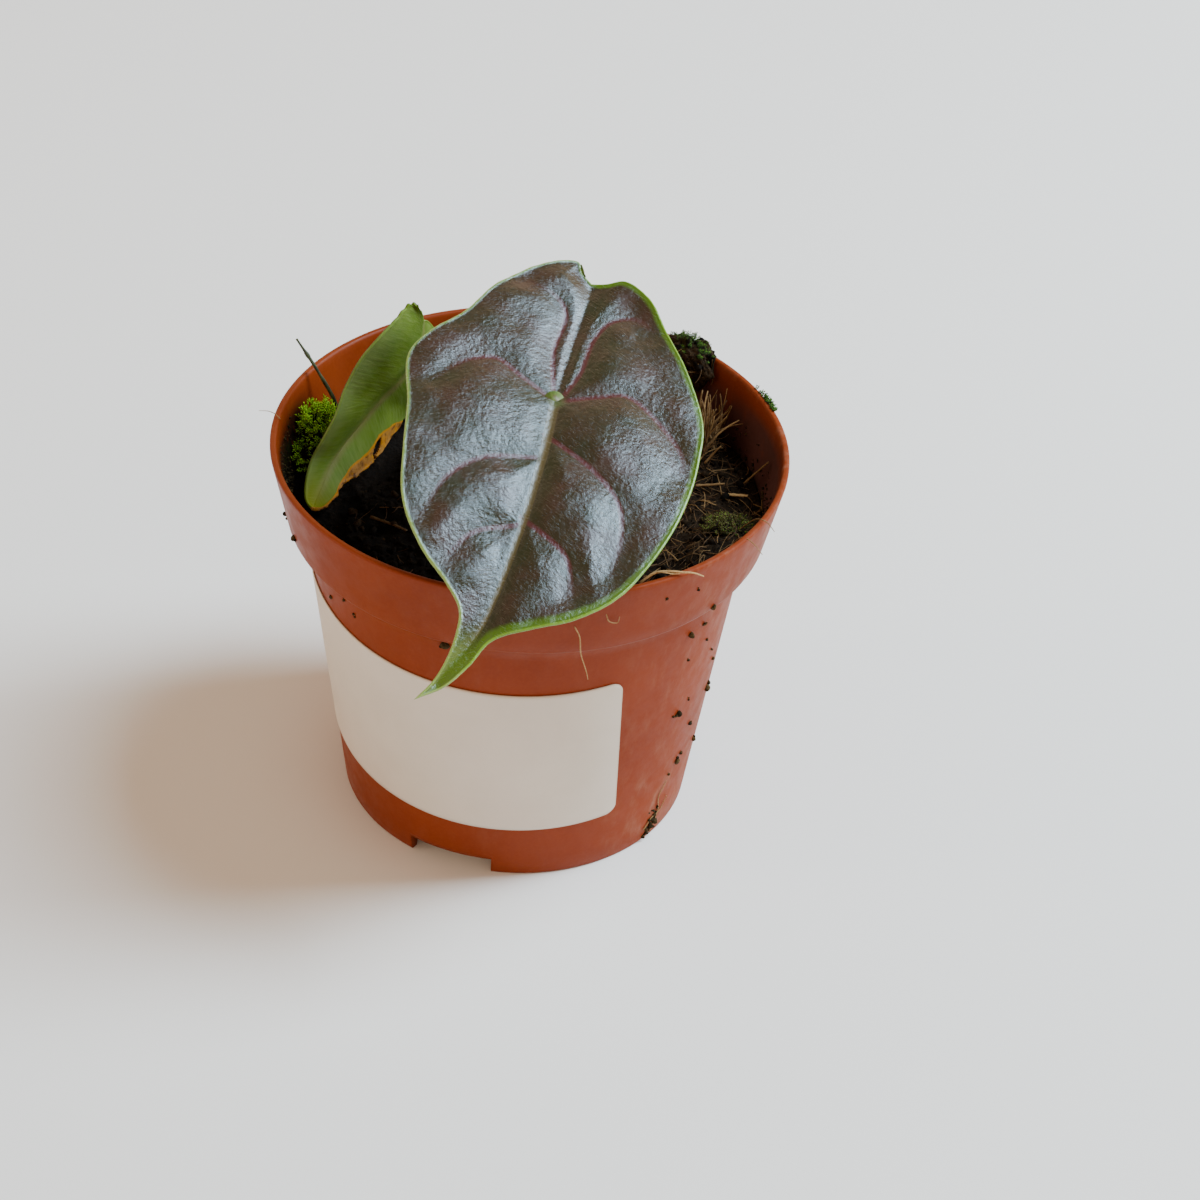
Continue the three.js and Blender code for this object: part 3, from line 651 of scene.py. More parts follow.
def soil_form(x, y):
    """The soil's height without its crumbs."""
    height = SOIL_LEVEL + 0.25 * np.sin(0.42 * x + 0.7) * np.cos(0.37 * y)
    for heap_x, heap_y, rise, spread in HEAPS:
        height = height + rise * np.exp(-np.hypot(x - heap_x, y - heap_y) ** 2 / spread ** 2 / 2)
    return height


def ground(x, y):
    """The height of the crumbly surface."""
    x, y = np.broadcast_arrays(np.asarray(x, float), np.asarray(y, float))
    flat = np.stack([x, y, 0 * x], -1)
    crumbs = 0.7 * fractal(flat, 5.0, 4, seed=21) + 0.45 * np.abs(fractal(flat, 1.6, 3, seed=31))
    crumbs = crumbs - 1.1 * smooth(6.0, 1.5, under_leaf(x, y)) * smooth(-0.9, 0.2, crumbs)
    return soil_form(x, y) + crumbs - 0.1


def under_leaf(x, y):
    """How far a place is from the low margin of the second leaf, which lies close to the soil."""
    margin = spline([row[2] for row in SECOND_ROWS[4:]], np.linspace(0, 1, 24))
    return np.min([np.hypot(x - place[0], y - place[1]) for place in margin], axis=0)


def soil_material(name="soil", moss=0.0, brown=0.0):
    s = Shader(name, IOR=1.4, Specular_IOR_Level=0.12)
    place = s.place()
    broad = s.noise(place, 0.22, 5.0, 0.6)
    fine = s.noise(place, 2.6, 5.0, 0.7)
    colour = s.ramp(fine, (0.36, (0.0016, 0.0012, 0.001)), (0.54, (0.0045, 0.003, 0.0022)),
                    (0.68, (0.014, 0.009, 0.005)), (0.8, (0.05, 0.032, 0.018)))
    colour = s.blend(s.span(broad, 0.45, 0.7, 0.0, 0.7), colour, (0.010, 0.006, 0.0035), "ADD")
    matted = s.plus(s.value("matted"), brown)
    matted = s.times(matted, s.span(fine, 0.36, 0.62))
    colour = s.blend(matted, colour, (0.040, 0.024, 0.012))
    if moss:
        green = s.noise(place, 0.5, 4.0, 0.6)
        colour = s.blend(s.span(green, 0.5, 0.7, 0.0, moss), colour, (0.022, 0.034, 0.006))
    relief = s.plus(fine, s.times(s.cells(place, 1.1), 0.8))
    return s.finish(colour, s.span(fine, 0.3, 0.7, 0.75, 0.95), s.bump(relief, 0.35))


def make_soil(material):
    sides = 400
    angles = np.arange(sides) * 360 / sides
    rings = [polar(inner_radius(z) - 0.2, angles, z)
             for z in (FLOOR_TOP + 0.15, 20.0, 40.0, LEDGE_FOOT)]
    rings.append(polar(inner_radius(LEDGE_TOP) - 0.2, angles, LEDGE_TOP + 0.3))
    edge = polar(inner_radius(LEDGE_TOP) - 0.2, angles, 0)
    brim = np.maximum(soil_form(edge[:, 0], edge[:, 1]), SOIL_EDGE)
    reach = inner_radius(brim) - 0.15
    for share in np.linspace(1, 0.01, 132):
        ring = polar(reach * share, angles, 0)
        rise = ground(ring[:, 0], ring[:, 1])
        ring[:, 2] = mix(rise, np.maximum(rise, brim), smooth(0.95, 1.0, share))
        rings.append(ring)
    points, faces = loft(rings)
    matted = 0.6 * smooth(12, 32, points[:, 0])
    return add_piece("soil_body", points, faces, material, "soil", ["soil"], {"matted": matted})


def scatter(draw, count, reach):
    """Places on the soil, even over its area, each with its distance from the axis."""
    places = []
    for _ in range(count):
        radius, angle = reach * math.sqrt(draw.random()), draw.uniform(-180, 180)
        x, y, _ = polar(radius, angle, 0).tolist()
        places.append((x, y, radius))
    return places


def make_crumbs(material):
    draw = random.Random(3)
    pile = Pile()
    for x, y, radius in scatter(draw, 2100, 41.2):
        size = 0.22 + 0.8 * draw.random() ** 3
        if radius + size * 1.3 > inner_radius(60) or math.dist((x, y), STEM) < 5.2:
            continue
        if under_leaf(x, y) < 2.2 + size:
            continue
        height = float(ground(x, y)) + size * 0.25
        pile.add(lump(draw, (x, y, height), size), draw.random())
    return pile.finish("soil_crumbs", material, "soil")


def crumb_material(name="soil_crumb", dark=(0.010, 0.0065, 0.004), brown=(0.045, 0.026, 0.012)):
    s = Shader(name, IOR=1.4, Specular_IOR_Level=0.12)
    fine = s.noise(s.place(), 2.2, 5.0, 0.7)
    dark = s.ramp(fine, (0.35, [part / 5 for part in dark]), (0.65, dark))
    brown = s.ramp(fine, (0.35, [part / 5 for part in brown]), (0.65, brown))
    colour = s.blend(s.span(s.value("shade"), 0.62, 0.95), dark, brown)
    return s.finish(colour, s.span(fine, 0.3, 0.7, 0.75, 0.95), s.bump(fine, 0.2))


# Fibres
def coir_material():
    s = Shader("coir", IOR=1.45, Specular_IOR_Level=0.2, Roughness=0.65)
    grain = s.noise(s.place(), 2.8, 4.0, 0.65)
    pale = s.ramp(grain, (0.3, (0.26, 0.14, 0.050)), (0.7, (0.50, 0.32, 0.140)))
    dark = s.ramp(grain, (0.3, (0.022, 0.010, 0.004)), (0.7, (0.075, 0.036, 0.014)))
    return s.finish(s.blend(s.value("shade"), dark, pale), normal=s.bump(grain, 0.05))


def drape(path, radius, lift=0.0):
    """Lays a path on the soil: no point lower than the surface, and clear of the wall."""
    path = path.copy()
    away = np.hypot(path[:, 0], path[:, 1])
    limit = inner_radius(np.clip(path[:, 2], LEDGE_TOP, RIM_HEIGHT)) - radius - 0.15
    path[:, :2] *= np.minimum(1, limit / np.maximum(away, 1e-6))[:, None]
    path[:, 2] = np.maximum(path[:, 2], ground(path[:, 0], path[:, 1]) + radius + lift)
    return path


def make_soil_fibres(material):
    """Fine fibres in the surface, thin on the left and matted on the right."""
    draw = random.Random(8)
    pile = Pile()
    for x, y, _ in scatter(draw, 2600, 40.6):
        right = float(smooth(6, 30, x))
        if draw.random() > 0.07 + 0.93 * right or math.dist((x, y), STEM) < 6:
            continue
        if under_leaf(x, y) < 3:
            continue
        length = draw.uniform(1.5, 6.5)
        thick = draw.uniform(0.04, 0.12)
        start = (x, y, float(ground(x, y)) + 0.1)
        path, radii = fibre(draw, start, draw.uniform(-180, 180), draw.uniform(-5, 28),
                            length, thick, draw.uniform(0.15, 0.6), 7)
        path[:, 2] = np.minimum(path[:, 2], ground(path[:, 0], path[:, 1]) + 1.6)
        shade = draw.random() ** 3 * (0.3 + 0.5 * right)
        pile.add(tube(drape(path, thick, 0.05), radii), shade)
    return pile.finish("soil_fibres", material, "coir")


def make_tuft(material):
    """Coir standing up from one root against the back right of the wall: short matted fibres
    round the root, and longer ones that rise out of them and bend over."""
    draw = random.Random(17)
    pile = Pile()
    foot = np.array([31.0, 18.0, float(soil_form(31.0, 18.0)) + 1.2])
    pile.add(lump(draw, foot, 1.5, icosphere(3)), 0.1)
    for number in range(170):
        long = number < 70
        start = foot + [draw.gauss(0, 1.0), draw.gauss(0.5, 2.0), draw.uniform(-0.8, 0.8)]
        thick = draw.uniform(0.12, 0.34) if long else draw.uniform(0.06, 0.14)
        heading = draw.uniform(105, 215) if long else draw.uniform(-180, 180)
        rise = draw.uniform(20, 78) if long else draw.uniform(-5, 60)
        length = draw.uniform(3.5, 10) if long else draw.uniform(2, 6)
        path, radii = fibre(draw, start, heading, rise, length, thick, 0.3 if long else 1.0, 12)
        path[:, 2] = np.minimum(path[:, 2], 70.8 - thick)
        shade = draw.uniform(0.1, 0.85) if long else draw.uniform(0.0, 0.5)
        pile.add(tube(drape(path, thick), radii, flat=0.6), shade)
    return pile.finish("coir_tuft_fibres", material, "coir", ["coir_tuft"])


# Each end is a place and how far the underside is above the soil.
STRAWS = (
    ("coir_straw_1", (34.4, 3.6, 0.4), (38.6, 2.3, 1.4), 0.42, 1.0),
    ("coir_straw_2", (38.2, 6.6, 1.0), (41.8, 4.6, 7.2), 0.34, 0.45),
    ("coir_straw_3", (29.6, 6.3, 0.4), (34.6, 5.5, 1.6), 0.36, 0.4),
    ("coir_straw_4", (-27.0, -8.0, 0.4), (-20.5, -12.5, 0.8), 0.34, 0.12),
)


def make_straws(material):
    for name, start, end, thick, shade in STRAWS:
        share = np.linspace(0, 1, 25)
        path = mix(np.array(start), np.array(end), share[:, None])
        path[:, 2] += soil_form(path[:, 0], path[:, 1]) + thick
        radii = thick * (1 - 0.25 * share) * (1 + 0.12 * np.sin(19 * share))
        pile = Pile()
        pile.add(tube(path, radii, 10, flat=0.6), shade)
        pile.finish(name + "_fine", material, "coir", [name])


def make_rim_fibres(material):
    """The fibre over the front rim, the hairs that hang over it, the curl on the collar and two
    rootlets stuck low on the wall."""
    top = RIM_HEIGHT + 0.6
    routes = [
        (0.22, 0.95, [(18.8, -38.1, 70.8), (21.3, -37.2, top - 0.2), (23.6, -37.0, top + 0.1),
                      (25.6, -36.9, top), (27.5, -36.4, top - 0.4), (29.4, -35.0, top - 2)]),
        (0.13, 0.8, [(19.4, -34.8, 66.2), (21.3, -37.2, top - 0.2), (22.6, -37.5, top + 0.2),
                     (24.2, -37.4, top - 0.1), (25.4, -37.2, top - 0.1)]),
        (0.12, 0.75, [(8.6, -44.9, 66.4), (9.5, -44.3, 64.0), (9.9, -43.6, 60.0),
                      (11.0, -42.6, 55.6), (11.4, -42.0, 53.4)]),
        (0.1, 0.7, [(13.6, -41.6, 67.0), (14.2, -41.9, 65.6), (15.6, -41.2, 64.9),
                    (15.9, -41.3, 66.2)]),
        (0.1, 0.6, [(33.6, -23.0, 67.0), (36.0, -25.0, 71.7), (37.8, -26.6, 71.6),
                    (39.3, -28.0, 70.5)]),
        (0.1, 0.45, [(36.0, -17.5, 68.0), (38.7, -20.2, 72.2), (40.2, -21.3, 72.3),
                     (41.5, -22.3, 71.2)]),
        (0.08, 0.6, [(-43.5, 2.9, 71.9), (-44.4, 3.3, 72.6), (-45.6, 3.8, 72.8),
                     (-47.4, 4.3, 72.5)]),
    ]
    roots = (
        ((52, 1.5), (54, 6), (52.5, 10), (55, 13)),
        ((48, 3), (51, 5), (55, 5.5), (58, 8)),
    )
    for places in roots:
        routes.append((0.1, 0.7, [on_wall(angle, z, 0.18) for angle, z in places]))
    pile = Pile()
    for thick, shade, knots in routes:
        path = spline(knots, np.linspace(0, 1, 40))
        radii = thick * (1 - 0.5 * np.linspace(0, 1, 40) ** 2)
        pile.add(tube(path, radii, 8), shade)
    return pile.finish("rim_fibres", material, "coir", ["rim_fibre"])


# Moss
def moss_material(name, dark, bright):
    s = Shader(name, Roughness=0.6, IOR=1.4, Specular_IOR_Level=0.35,
               Subsurface_Weight=0.12, Subsurface_Radius=(0.4, 1.0, 0.2), Subsurface_Scale=0.6 * MM)
    grain = s.noise(s.place(), 1.4, 3.0)
    colour = s.blend(s.value("shade"), dark, bright)
    return s.finish(s.blend(s.span(grain, 0.3, 0.7, 0.0, 0.45), colour, dark))


def sprig(draw, pile, foot, direction, length, leaflet, shade):
    """A moss shoot: pointed leaflets all round a bending line, each a thin closed wedge."""
    side = unit(np.cross(direction, any_way(draw)))
    bend = side * length * draw.uniform(0.1, 0.45)
    rows = 15
    for row in range(rows):
        share = row / (rows - 1)
        root = foot + direction * length * share + bend * share ** 2
        turn = row * 2.4 + draw.uniform(-0.3, 0.3)
        out = side * math.cos(turn) + np.cross(direction, side) * math.sin(turn)
        lean = mix(0.5, 1.6, share)
        way = unit(out + direction * lean)
        across = unit(np.cross(way, direction)) * leaflet * 0.17
        size = leaflet * mix(1.0, 0.7, share) * draw.uniform(0.8, 1.2)
        tip = root + way * size
        middle = root + way * size * 0.4
        under = middle - unit(np.cross(across, way)) * leaflet * 0.1
        points = np.array([root, middle + across, tip, middle - across, under])
        faces = [(0, 1, 2, 3), (0, 4, 1), (1, 4, 2), (2, 4, 3), (3, 4, 0)]
        pile.add((points, faces), np.clip(shade + 0.45 * (share - 0.6), 0, 1))


CUSHIONS = {
    "moss_left": {
        "x": -37.6, "y": 11.2, "half_width": 5.4, "half_length": 8.2,
        "turn": -0.22, "height": 5.4, "lump": 1.5,
    },
    "moss_right": {
        "x": 34.3, "y": -10.8, "half_width": 4.0, "half_length": 5.0,
        "turn": -0.3, "height": 1.3, "lump": 0.6,
    },
}


def cushion_place(size, share, angle):
    """A point of a cushion's top, from its middle (share 0) to its hem (share 1)."""
    along = size["half_length"] * share * math.sin(angle)
    across = size["half_width"] * share * math.cos(angle)
    x = size["x"] + across * math.cos(size["turn"]) - along * math.sin(size["turn"])
    y = size["y"] + across * math.sin(size["turn"]) + along * math.cos(size["turn"])
    dome = size["height"] * (1 - share ** 3)
    dome += size["lump"] * math.sin(7 * angle + 9 * share) * (1 - share)
    base = float(soil_form(x, y)) + 0.45
    away = math.hypot(x, y)
    limit = float(inner_radius(base + 0.6)) - 0.35
    shrink = min(1.0, limit / away)
    return np.array([x * shrink, y * shrink, base + max(dome, 0.3)])


def make_moss(node, count, leaflet, base_material, material, seed):
    """A cushion with its shoots standing out of its surface."""
    size = CUSHIONS[node]
    draw = random.Random(seed)
    sides = 48
    angles = 2 * np.pi * np.arange(sides) / sides
    rings = []
    for share in (0.3, 0.6, 0.85, 1.0):
        ring = np.array([cushion_place(size, share, angle) for angle in angles])
        ring[:, 2] = soil_form(ring[:, 0], ring[:, 1]) + 0.2
        rings.append(ring)
    for share in np.linspace(0.97, 0.05, 14):
        ring = np.array([cushion_place(size, share, angle) for angle in angles])
        ring[:, 2] += 0.5 * fractal(ring, 1.6, 3, seed=seed) - 0.9 * (1 - share)
        rings.append(ring)
    points, faces = loft(rings)
    add_piece(node + "_bed", points, faces, base_material, "moss", [node])
    pile = Pile()
    for _ in range(count):
        share, angle = math.sqrt(draw.random()), draw.uniform(0, 2 * math.pi)
        foot = cushion_place(size, share, angle)
        centre = np.array([size["x"], size["y"], foot[2] - 4.0])
        direction = unit(unit(foot - centre) + any_way(draw, 0.28))
        length = draw.uniform(1.0, 2.2) * leaflet / 0.75
        tip = foot + direction * length
        if math.hypot(tip[0], tip[1]) > inner_radius(tip[2]) - 0.4:
            continue
        clump = 0.5 + 0.4 * float(value_noise(foot / 2.2, seed))
        sprig(draw, pile, foot - direction * 0.6, direction, length, leaflet, clump)
    return pile.finish(node + "_shoots", material, "moss")


def make_rim_moss(material):
    """A scrap of moss on the outer edge of the rim, at the back right."""
    draw = random.Random(61)
    pile = Pile()
    for _ in range(80):
        angle = draw.gauss(111.5, 2.4)
        foot = polar(RIM_RADIUS - 0.4 + draw.uniform(-0.3, 0.3), angle, RIM_HEIGHT)
        out = polar(1.0, angle, 0)
        direction = unit(out + UP * draw.uniform(0.2, 1.2) + draw.gauss(0, 0.4) * np.cross(out, UP))
        sprig(draw, pile, foot, direction, draw.uniform(0.3, 0.8), 0.45, draw.uniform(0.0, 0.6))
    return pile.finish("rim_moss", material, "moss")


# Peat clump
CLUMP_CENTRE = np.array([27.9, 32.0, 69.6])
# Half its size along the rim, across the rim and up
CLUMP_HALF = np.array([5.2, 3.2, 4.9])


def off_rim(points, gap=0.25):
    """Moves points out of the wall: inwards below the rim, and up where they lie over it."""
    points = points.copy()
    away = np.hypot(points[:, 0], points[:, 1])
    limit = inner_radius(np.clip(points[:, 2], LEDGE_TOP, RIM_HEIGHT)) - gap
    beyond = (away > limit) & (points[:, 2] < RIM_HEIGHT + gap)
    lift = beyond & (points[:, 2] > RIM_HEIGHT - 2.2)
    points[lift, 2] = RIM_HEIGHT + gap
    inward = beyond & ~lift
    points[inward, :2] *= (limit[inward] / away[inward])[:, None]
    return points


def make_clump(soil, moss, coir):
    draw = random.Random(29)
    points, faces = icosphere(6)
    form = 1 + 0.1 * np.sin(6 * points[:, 0] + 1) * np.cos(5 * points[:, 2])
    form += 0.06 * np.sin(9 * points[:, 1])
    form += 0.16 * fractal(points, 0.42, 4, seed=41)
    turn = math.atan2(CLUMP_CENTRE[0], -CLUMP_CENTRE[1])
    cosine, sine = math.cos(turn), math.sin(turn)
    spin = np.array([[cosine, -sine, 0], [sine, cosine, 0], [0, 0, 1]]).T

    def on_clump(way, reach=1.0):
        return (way * CLUMP_HALF * reach) @ spin + CLUMP_CENTRE

    points = (points * form[:, None] * CLUMP_HALF) @ spin + CLUMP_CENTRE
    add_piece("peat_clump_body", off_rim(points), faces, soil, "soil", ["peat_clump"])
    crumbs, shoots, fibres = Pile(), Pile(), Pile()
    for _ in range(150):
        way = unit(any_way(draw))
        shape, sides = lump(draw, on_clump(way, 0.98), draw.uniform(0.25, 0.8))
        crumbs.add((off_rim(shape), sides), draw.random())
    for _ in range(90):
        way = unit([draw.gauss(0, 1), draw.gauss(0, 0.5), abs(draw.gauss(0, 0.8)) + 0.5])
        direction = unit(way @ spin + UP * 0.4)
        length = draw.uniform(0.7, 1.3)
        sprig(draw, shoots, on_clump(way, 0.97), direction, length, 0.5, draw.uniform(0.1, 0.7))
    for _ in range(26):
        way = unit(any_way(draw))
        path, radii = fibre(draw, on_clump(way), draw.uniform(-180, 180), draw.uniform(-60, 30),
                            draw.uniform(2, 5), draw.uniform(0.05, 0.11), 0.8)
        fibres.add(tube(off_rim(path), radii), draw.uniform(0, 0.6))
    crumbs.finish("peat_clump_crumbs", crumb_material(), "soil")
    shoots.finish("peat_clump_moss", moss, "moss")
    fibres.finish("peat_clump_fibres", coir, "coir")


# Leaf blades
def blade_stations(inner, margin, band=0.06):
    """Stations from margin to margin, even inside and crowded in a band at each margin."""
    half = np.linspace(0, 1 - band, inner)
    rim = 1 - band * np.linspace(1, 0, margin + 1)[1:] ** 1.7
    side = np.concatenate([half, rim])
    return np.concatenate([-side[:0:-1], side])


def blade_normals(place, q, t):
    step = 0.004
    q = np.clip(q, 3 * step, 1 - 3 * step)
    t = np.clip(t, -1 + step, 1 - step)
    forward = place(q + step, t) - place(q - step, t)
    sideways = place(q, t + step) - place(q, t - step)
    return unit(np.cross(forward, sideways))


def half_thickness(edge, thickness):
    """A blade is evenly thin, with a faint bead along its round margin."""
    middle = thickness / 2 * np.sqrt(1 - (1 - np.clip(edge / (thickness * 0.55), 0, 1)) ** 2)
    return middle * (1 + 0.45 * np.exp(-((edge - 0.28) / 0.22) ** 2))


def make_blade(name, middle, normal, edge, thickness, material, slot, node, values, gone=None):
    """Two faces round a middle surface, closed along the margin and round each hole in it.
    values holds a number or vector for each point of the middle surface, and the finished mesh
    also gets 'under', 1 on the face that the normals point away from."""
    rows, columns = edge.shape
    offset = normal * half_thickness(edge, thickness)[..., None]
    grid = np.arange(rows * columns).reshape(rows, columns)
    grid[0], grid[-1] = grid[0, 0], grid[-1, 0]
    rim = np.zeros((rows, columns), bool)
    rim[:, [0, -1]] = True
    rim[[0, -1]] = True
    below = np.where(rim, grid, grid + rows * columns)
    top = np.where(rim[..., None], middle, middle + offset)
    bottom = np.where(rim[..., None], middle, middle - offset)
    points = np.concatenate([top.reshape(-1, 3), bottom.reshape(-1, 3)])
    gone = np.zeros((rows - 1, columns - 1), bool) if gone is None else gone
    faces = []
    for sheet, turned in ((grid, False), (below, True)):
        corners = (sheet[:-1, :-1], sheet[:-1, 1:], sheet[1:, 1:], sheet[1:, :-1])
        for face in np.stack(corners, -1)[~gone]:
            face = list(dict.fromkeys(face.tolist()))
            if len(face) > 2:
                faces.append(tuple(face[::-1] if turned else face))
    for i, j in zip(*np.nonzero(gone)):
        walls = (
            (i - 1, j, (i, j), (i, j + 1)),
            (i + 1, j, (i + 1, j + 1), (i + 1, j)),
            (i, j - 1, (i + 1, j), (i, j)),
            (i, j + 1, (i, j + 1), (i + 1, j + 1)),
        )
        for next_i, next_j, a, b in walls:
            if not gone[next_i, next_j]:
                faces.append((grid[a], grid[b], below[b], below[a]))
    used = np.unique(np.concatenate([np.array(face) for face in faces]))
    number = np.full(len(points), -1)
    number[used] = np.arange(len(used))
    faces = [tuple(int(number[corner]) for corner in face) for face in faces]
    fields = {"under": np.repeat([0.0, 1.0], rows * columns)[used]}
    for key, numbers in values.items():
        flat = numbers.reshape(rows * columns, -1)
        fields[key] = np.concatenate([flat, flat])[used].squeeze()
    return add_piece(name, points[used], faces, material, slot, [node], fields)


def rails(rows, q):
    """The left margin, the midrib and the right margin at q."""
    return [spline([row[side] for row in rows], q) for side in range(3)]


def outline_of(rows, steps=900):
    left, _, right = rails(rows, np.linspace(0, 1, steps))
    return np.vstack([left, right])


# Main blade
MAIN = {
    "attachment": (3.6, -11.2, 88.4),
    "heading": -14.0,
    "slope": 15.0,
    "bend": 0.35,
    "tip_bend": 0.8,
    "tip_start": 45.0,
    "lean": 8.0,
    "keel": 0.18,
    "keel_rounding": 1.5,
    "dome": 0.006,
    "puff": 0.62,
    "puff_width": 3.0,
    "thickness": 0.44,
}
# Each row holds a point of the left margin, of the midrib and of the right margin, as distance
# along the midrib from the petiole and distance to the right.
MAIN_ROWS = (
    ((-27.5, -0.9), (-27.5, -0.9), (-27.5, -0.9)),
    ((-28.9, -2.9), (-26.4, -0.8), (-28.2, 1.7)),
    ((-30.9, -4.2), (-24.6, -0.6), (-29.2, 4.6)),
    ((-28.5, -9.3), (-21.5, -0.4), (-26.6, 9.4)),
    ((-20.8, -15.8), (-16, -0.3), (-19.5, 14.9)),
    ((-12.3, -19.5), (-9.5, -0.1), (-11, 20.9)),
    ((-5.7, -23.9), (-3, 0), (-2.5, 25.2)),
    ((-0.5, -25.7), (3, 0), (4, 26.2)),
    ((9.5, -22.8), (11, 0.3), (11, 26.5)),
    ((18.4, -20.8), (19, 0.9), (19.5, 25.7)),
    ((27, -18.4), (27, 1.2), (28, 23.3)),
    ((34.4, -13.5), (34.5, 1), (35.4, 19.7)),
    ((40, -7.2), (40.5, 0.4), (40.7, 14.2)),
    ((43.6, -4.1), (44.5, 0), (44.2, 7.6)),
    ((47.5, -3.5), (48.2, -0.9), (47.4, 2.2)),
    ((52.2, -4), (52.5, -2.4), (52.2, -0.2)),
    ((56, -5.3), (56.3, -4.4), (56.2, -3)),
    ((59.4, -7.4), (59.4, -7.4), (59.4, -7.4)),
)
MAIN_MIDRIB = ((-26, -0.6), (0, 0.3), (9.8, 1.2), (22.9, 1.7), (31.8, 1.5), (40, 0.9),
               (46.2, -0.2), (56, -4.6))
MAIN_VEINS = (
    ((0, 0), (-10, -2.9), (-18.8, -3.2), (-21.4, -5.4), (-23, -11)),
    ((0, 0.8), (-7, 2.6), (-14.7, 2.8), (-19.8, 4.6), (-21.9, 8.5), (-20, 12)),
    ((0, 0), (-2.7, -6.9), (-4.6, -11.4), (-2.6, -15.7), (3.5, -20.3)),
    ((0, 0.8), (-2.7, 7), (-4.3, 11.4), (-0.6, 18.1), (4.6, 23.2), (9, 24.2)),
    ((12.5, 0.4), (15.9, -7.9), (21.4, -12.4), (29, -14.3)),
    ((7.5, 0.4), (13.1, 10.6), (18, 15.8), (23.6, 17.6), (31, 17.8)),
    ((26, 1.1), (29.8, -5.5), (35, -8.4)),
    ((24.5, 1.1), (30, 10), (36, 12.5)),
)
MAIN_FORWARD = polar(1.0, MAIN["heading"], 0)
MAIN_RIGHT = polar(1.0, MAIN["heading"] + 90, 0)


def main_slope(s):
    bend = MAIN["bend"] * np.maximum(s, 0) + MAIN["tip_bend"] * np.maximum(s - MAIN["tip_start"], 0)
    return np.radians(MAIN["slope"] + bend)


def midrib_table():
    """How far forward and down the midrib has gone at each distance along it."""
    s = np.linspace(-36, 66, 4081)
    slope = main_slope((s[1:] + s[:-1]) / 2)
    ahead = np.concatenate([[0], np.cumsum(np.cos(slope) * np.diff(s))])
    down = np.concatenate([[0], np.cumsum(np.sin(slope) * np.diff(s))])
    return s, ahead - np.interp(0, s, ahead), down - np.interp(0, s, down)


MIDRIB_TABLE = midrib_table()


def main_surface(s, v, lift):
    table, ahead, down = MIDRIB_TABLE
    slope = main_slope(s)[..., None]
    lean = math.radians(MAIN["lean"])
    centre = np.asarray(MAIN["attachment"]) + MAIN_FORWARD * np.interp(s, table, ahead)[..., None]
    centre = centre - UP * np.interp(s, table, down)[..., None]
    normal = MAIN_FORWARD * np.sin(slope) + UP * np.cos(slope)
    side = MAIN_RIGHT * math.cos(lean) - normal * math.sin(lean)
    face = MAIN_RIGHT * math.sin(lean) + normal * math.cos(lean)
    keel = MAIN["keel"] * (np.hypot(v, MAIN["keel_rounding"]) - MAIN["keel_rounding"])
    height = keel - MAIN["dome"] * v ** 2 + lift
    return centre + side * v[..., None] + face * height[..., None]


def vein_samples(vein, step=0.08):
    knots = np.asarray(vein, float)
    length = np.linalg.norm(np.diff(knots, axis=0), axis=1).sum()
    return spline(knots, np.linspace(0, 1, int(length / step)))


MAIN_MIDRIB_LINE = vein_samples(MAIN_MIDRIB)
MAIN_VEIN_LINES = [vein_samples(vein) for vein in MAIN_VEINS]
MAIN_VEIN_SHARES = np.concatenate([np.linspace(0, 1, len(line)) for line in MAIN_VEIN_LINES])
near_midrib = Nearest(MAIN_MIDRIB_LINE)
near_veins = Nearest(np.vstack(MAIN_VEIN_LINES))
near_margin = Nearest(outline_of(MAIN_ROWS))


def main_flat(q, t):
    left, middle, right = rails(MAIN_ROWS, q)
    margin = np.where((t < 0)[..., None], left, right)
    return mix(middle, margin, np.abs(t)[..., None])


def main_puff(flat):
    """The blade rises between its veins, which lie impressed in it."""
    distance = np.minimum(near_midrib.find(flat)[0], near_veins.find(flat)[0])
    swell = MAIN["puff"] * (1 - np.exp(-(distance / MAIN["puff_width"]) ** 2))
    return swell - MAIN["puff"]


def place_on_main(q, t):
    flat = main_flat(q, t)
    return main_surface(flat[..., 0], flat[..., 1], main_puff(flat))


def grain_of(flat):
    """Streak coordinates: how far along and across the fine fibres that leave the midrib. The
    third one sets the two sides of the midrib apart."""
    sign = np.sign(flat[..., 1] - np.interp(flat[..., 0], *MAIN_MIDRIB_LINE.T))
    sign = sign * smooth(-3, 0, flat[..., 0])
    s, v = flat[..., 0], np.abs(flat[..., 1])
    lean = math.radians(62)
    along = v * math.sin(lean) + s * math.cos(lean)
    across = s * math.sin(lean) - v * math.cos(lean)
    return np.stack([along * 0.5, across * 2.2, sign * 5.0], -1)


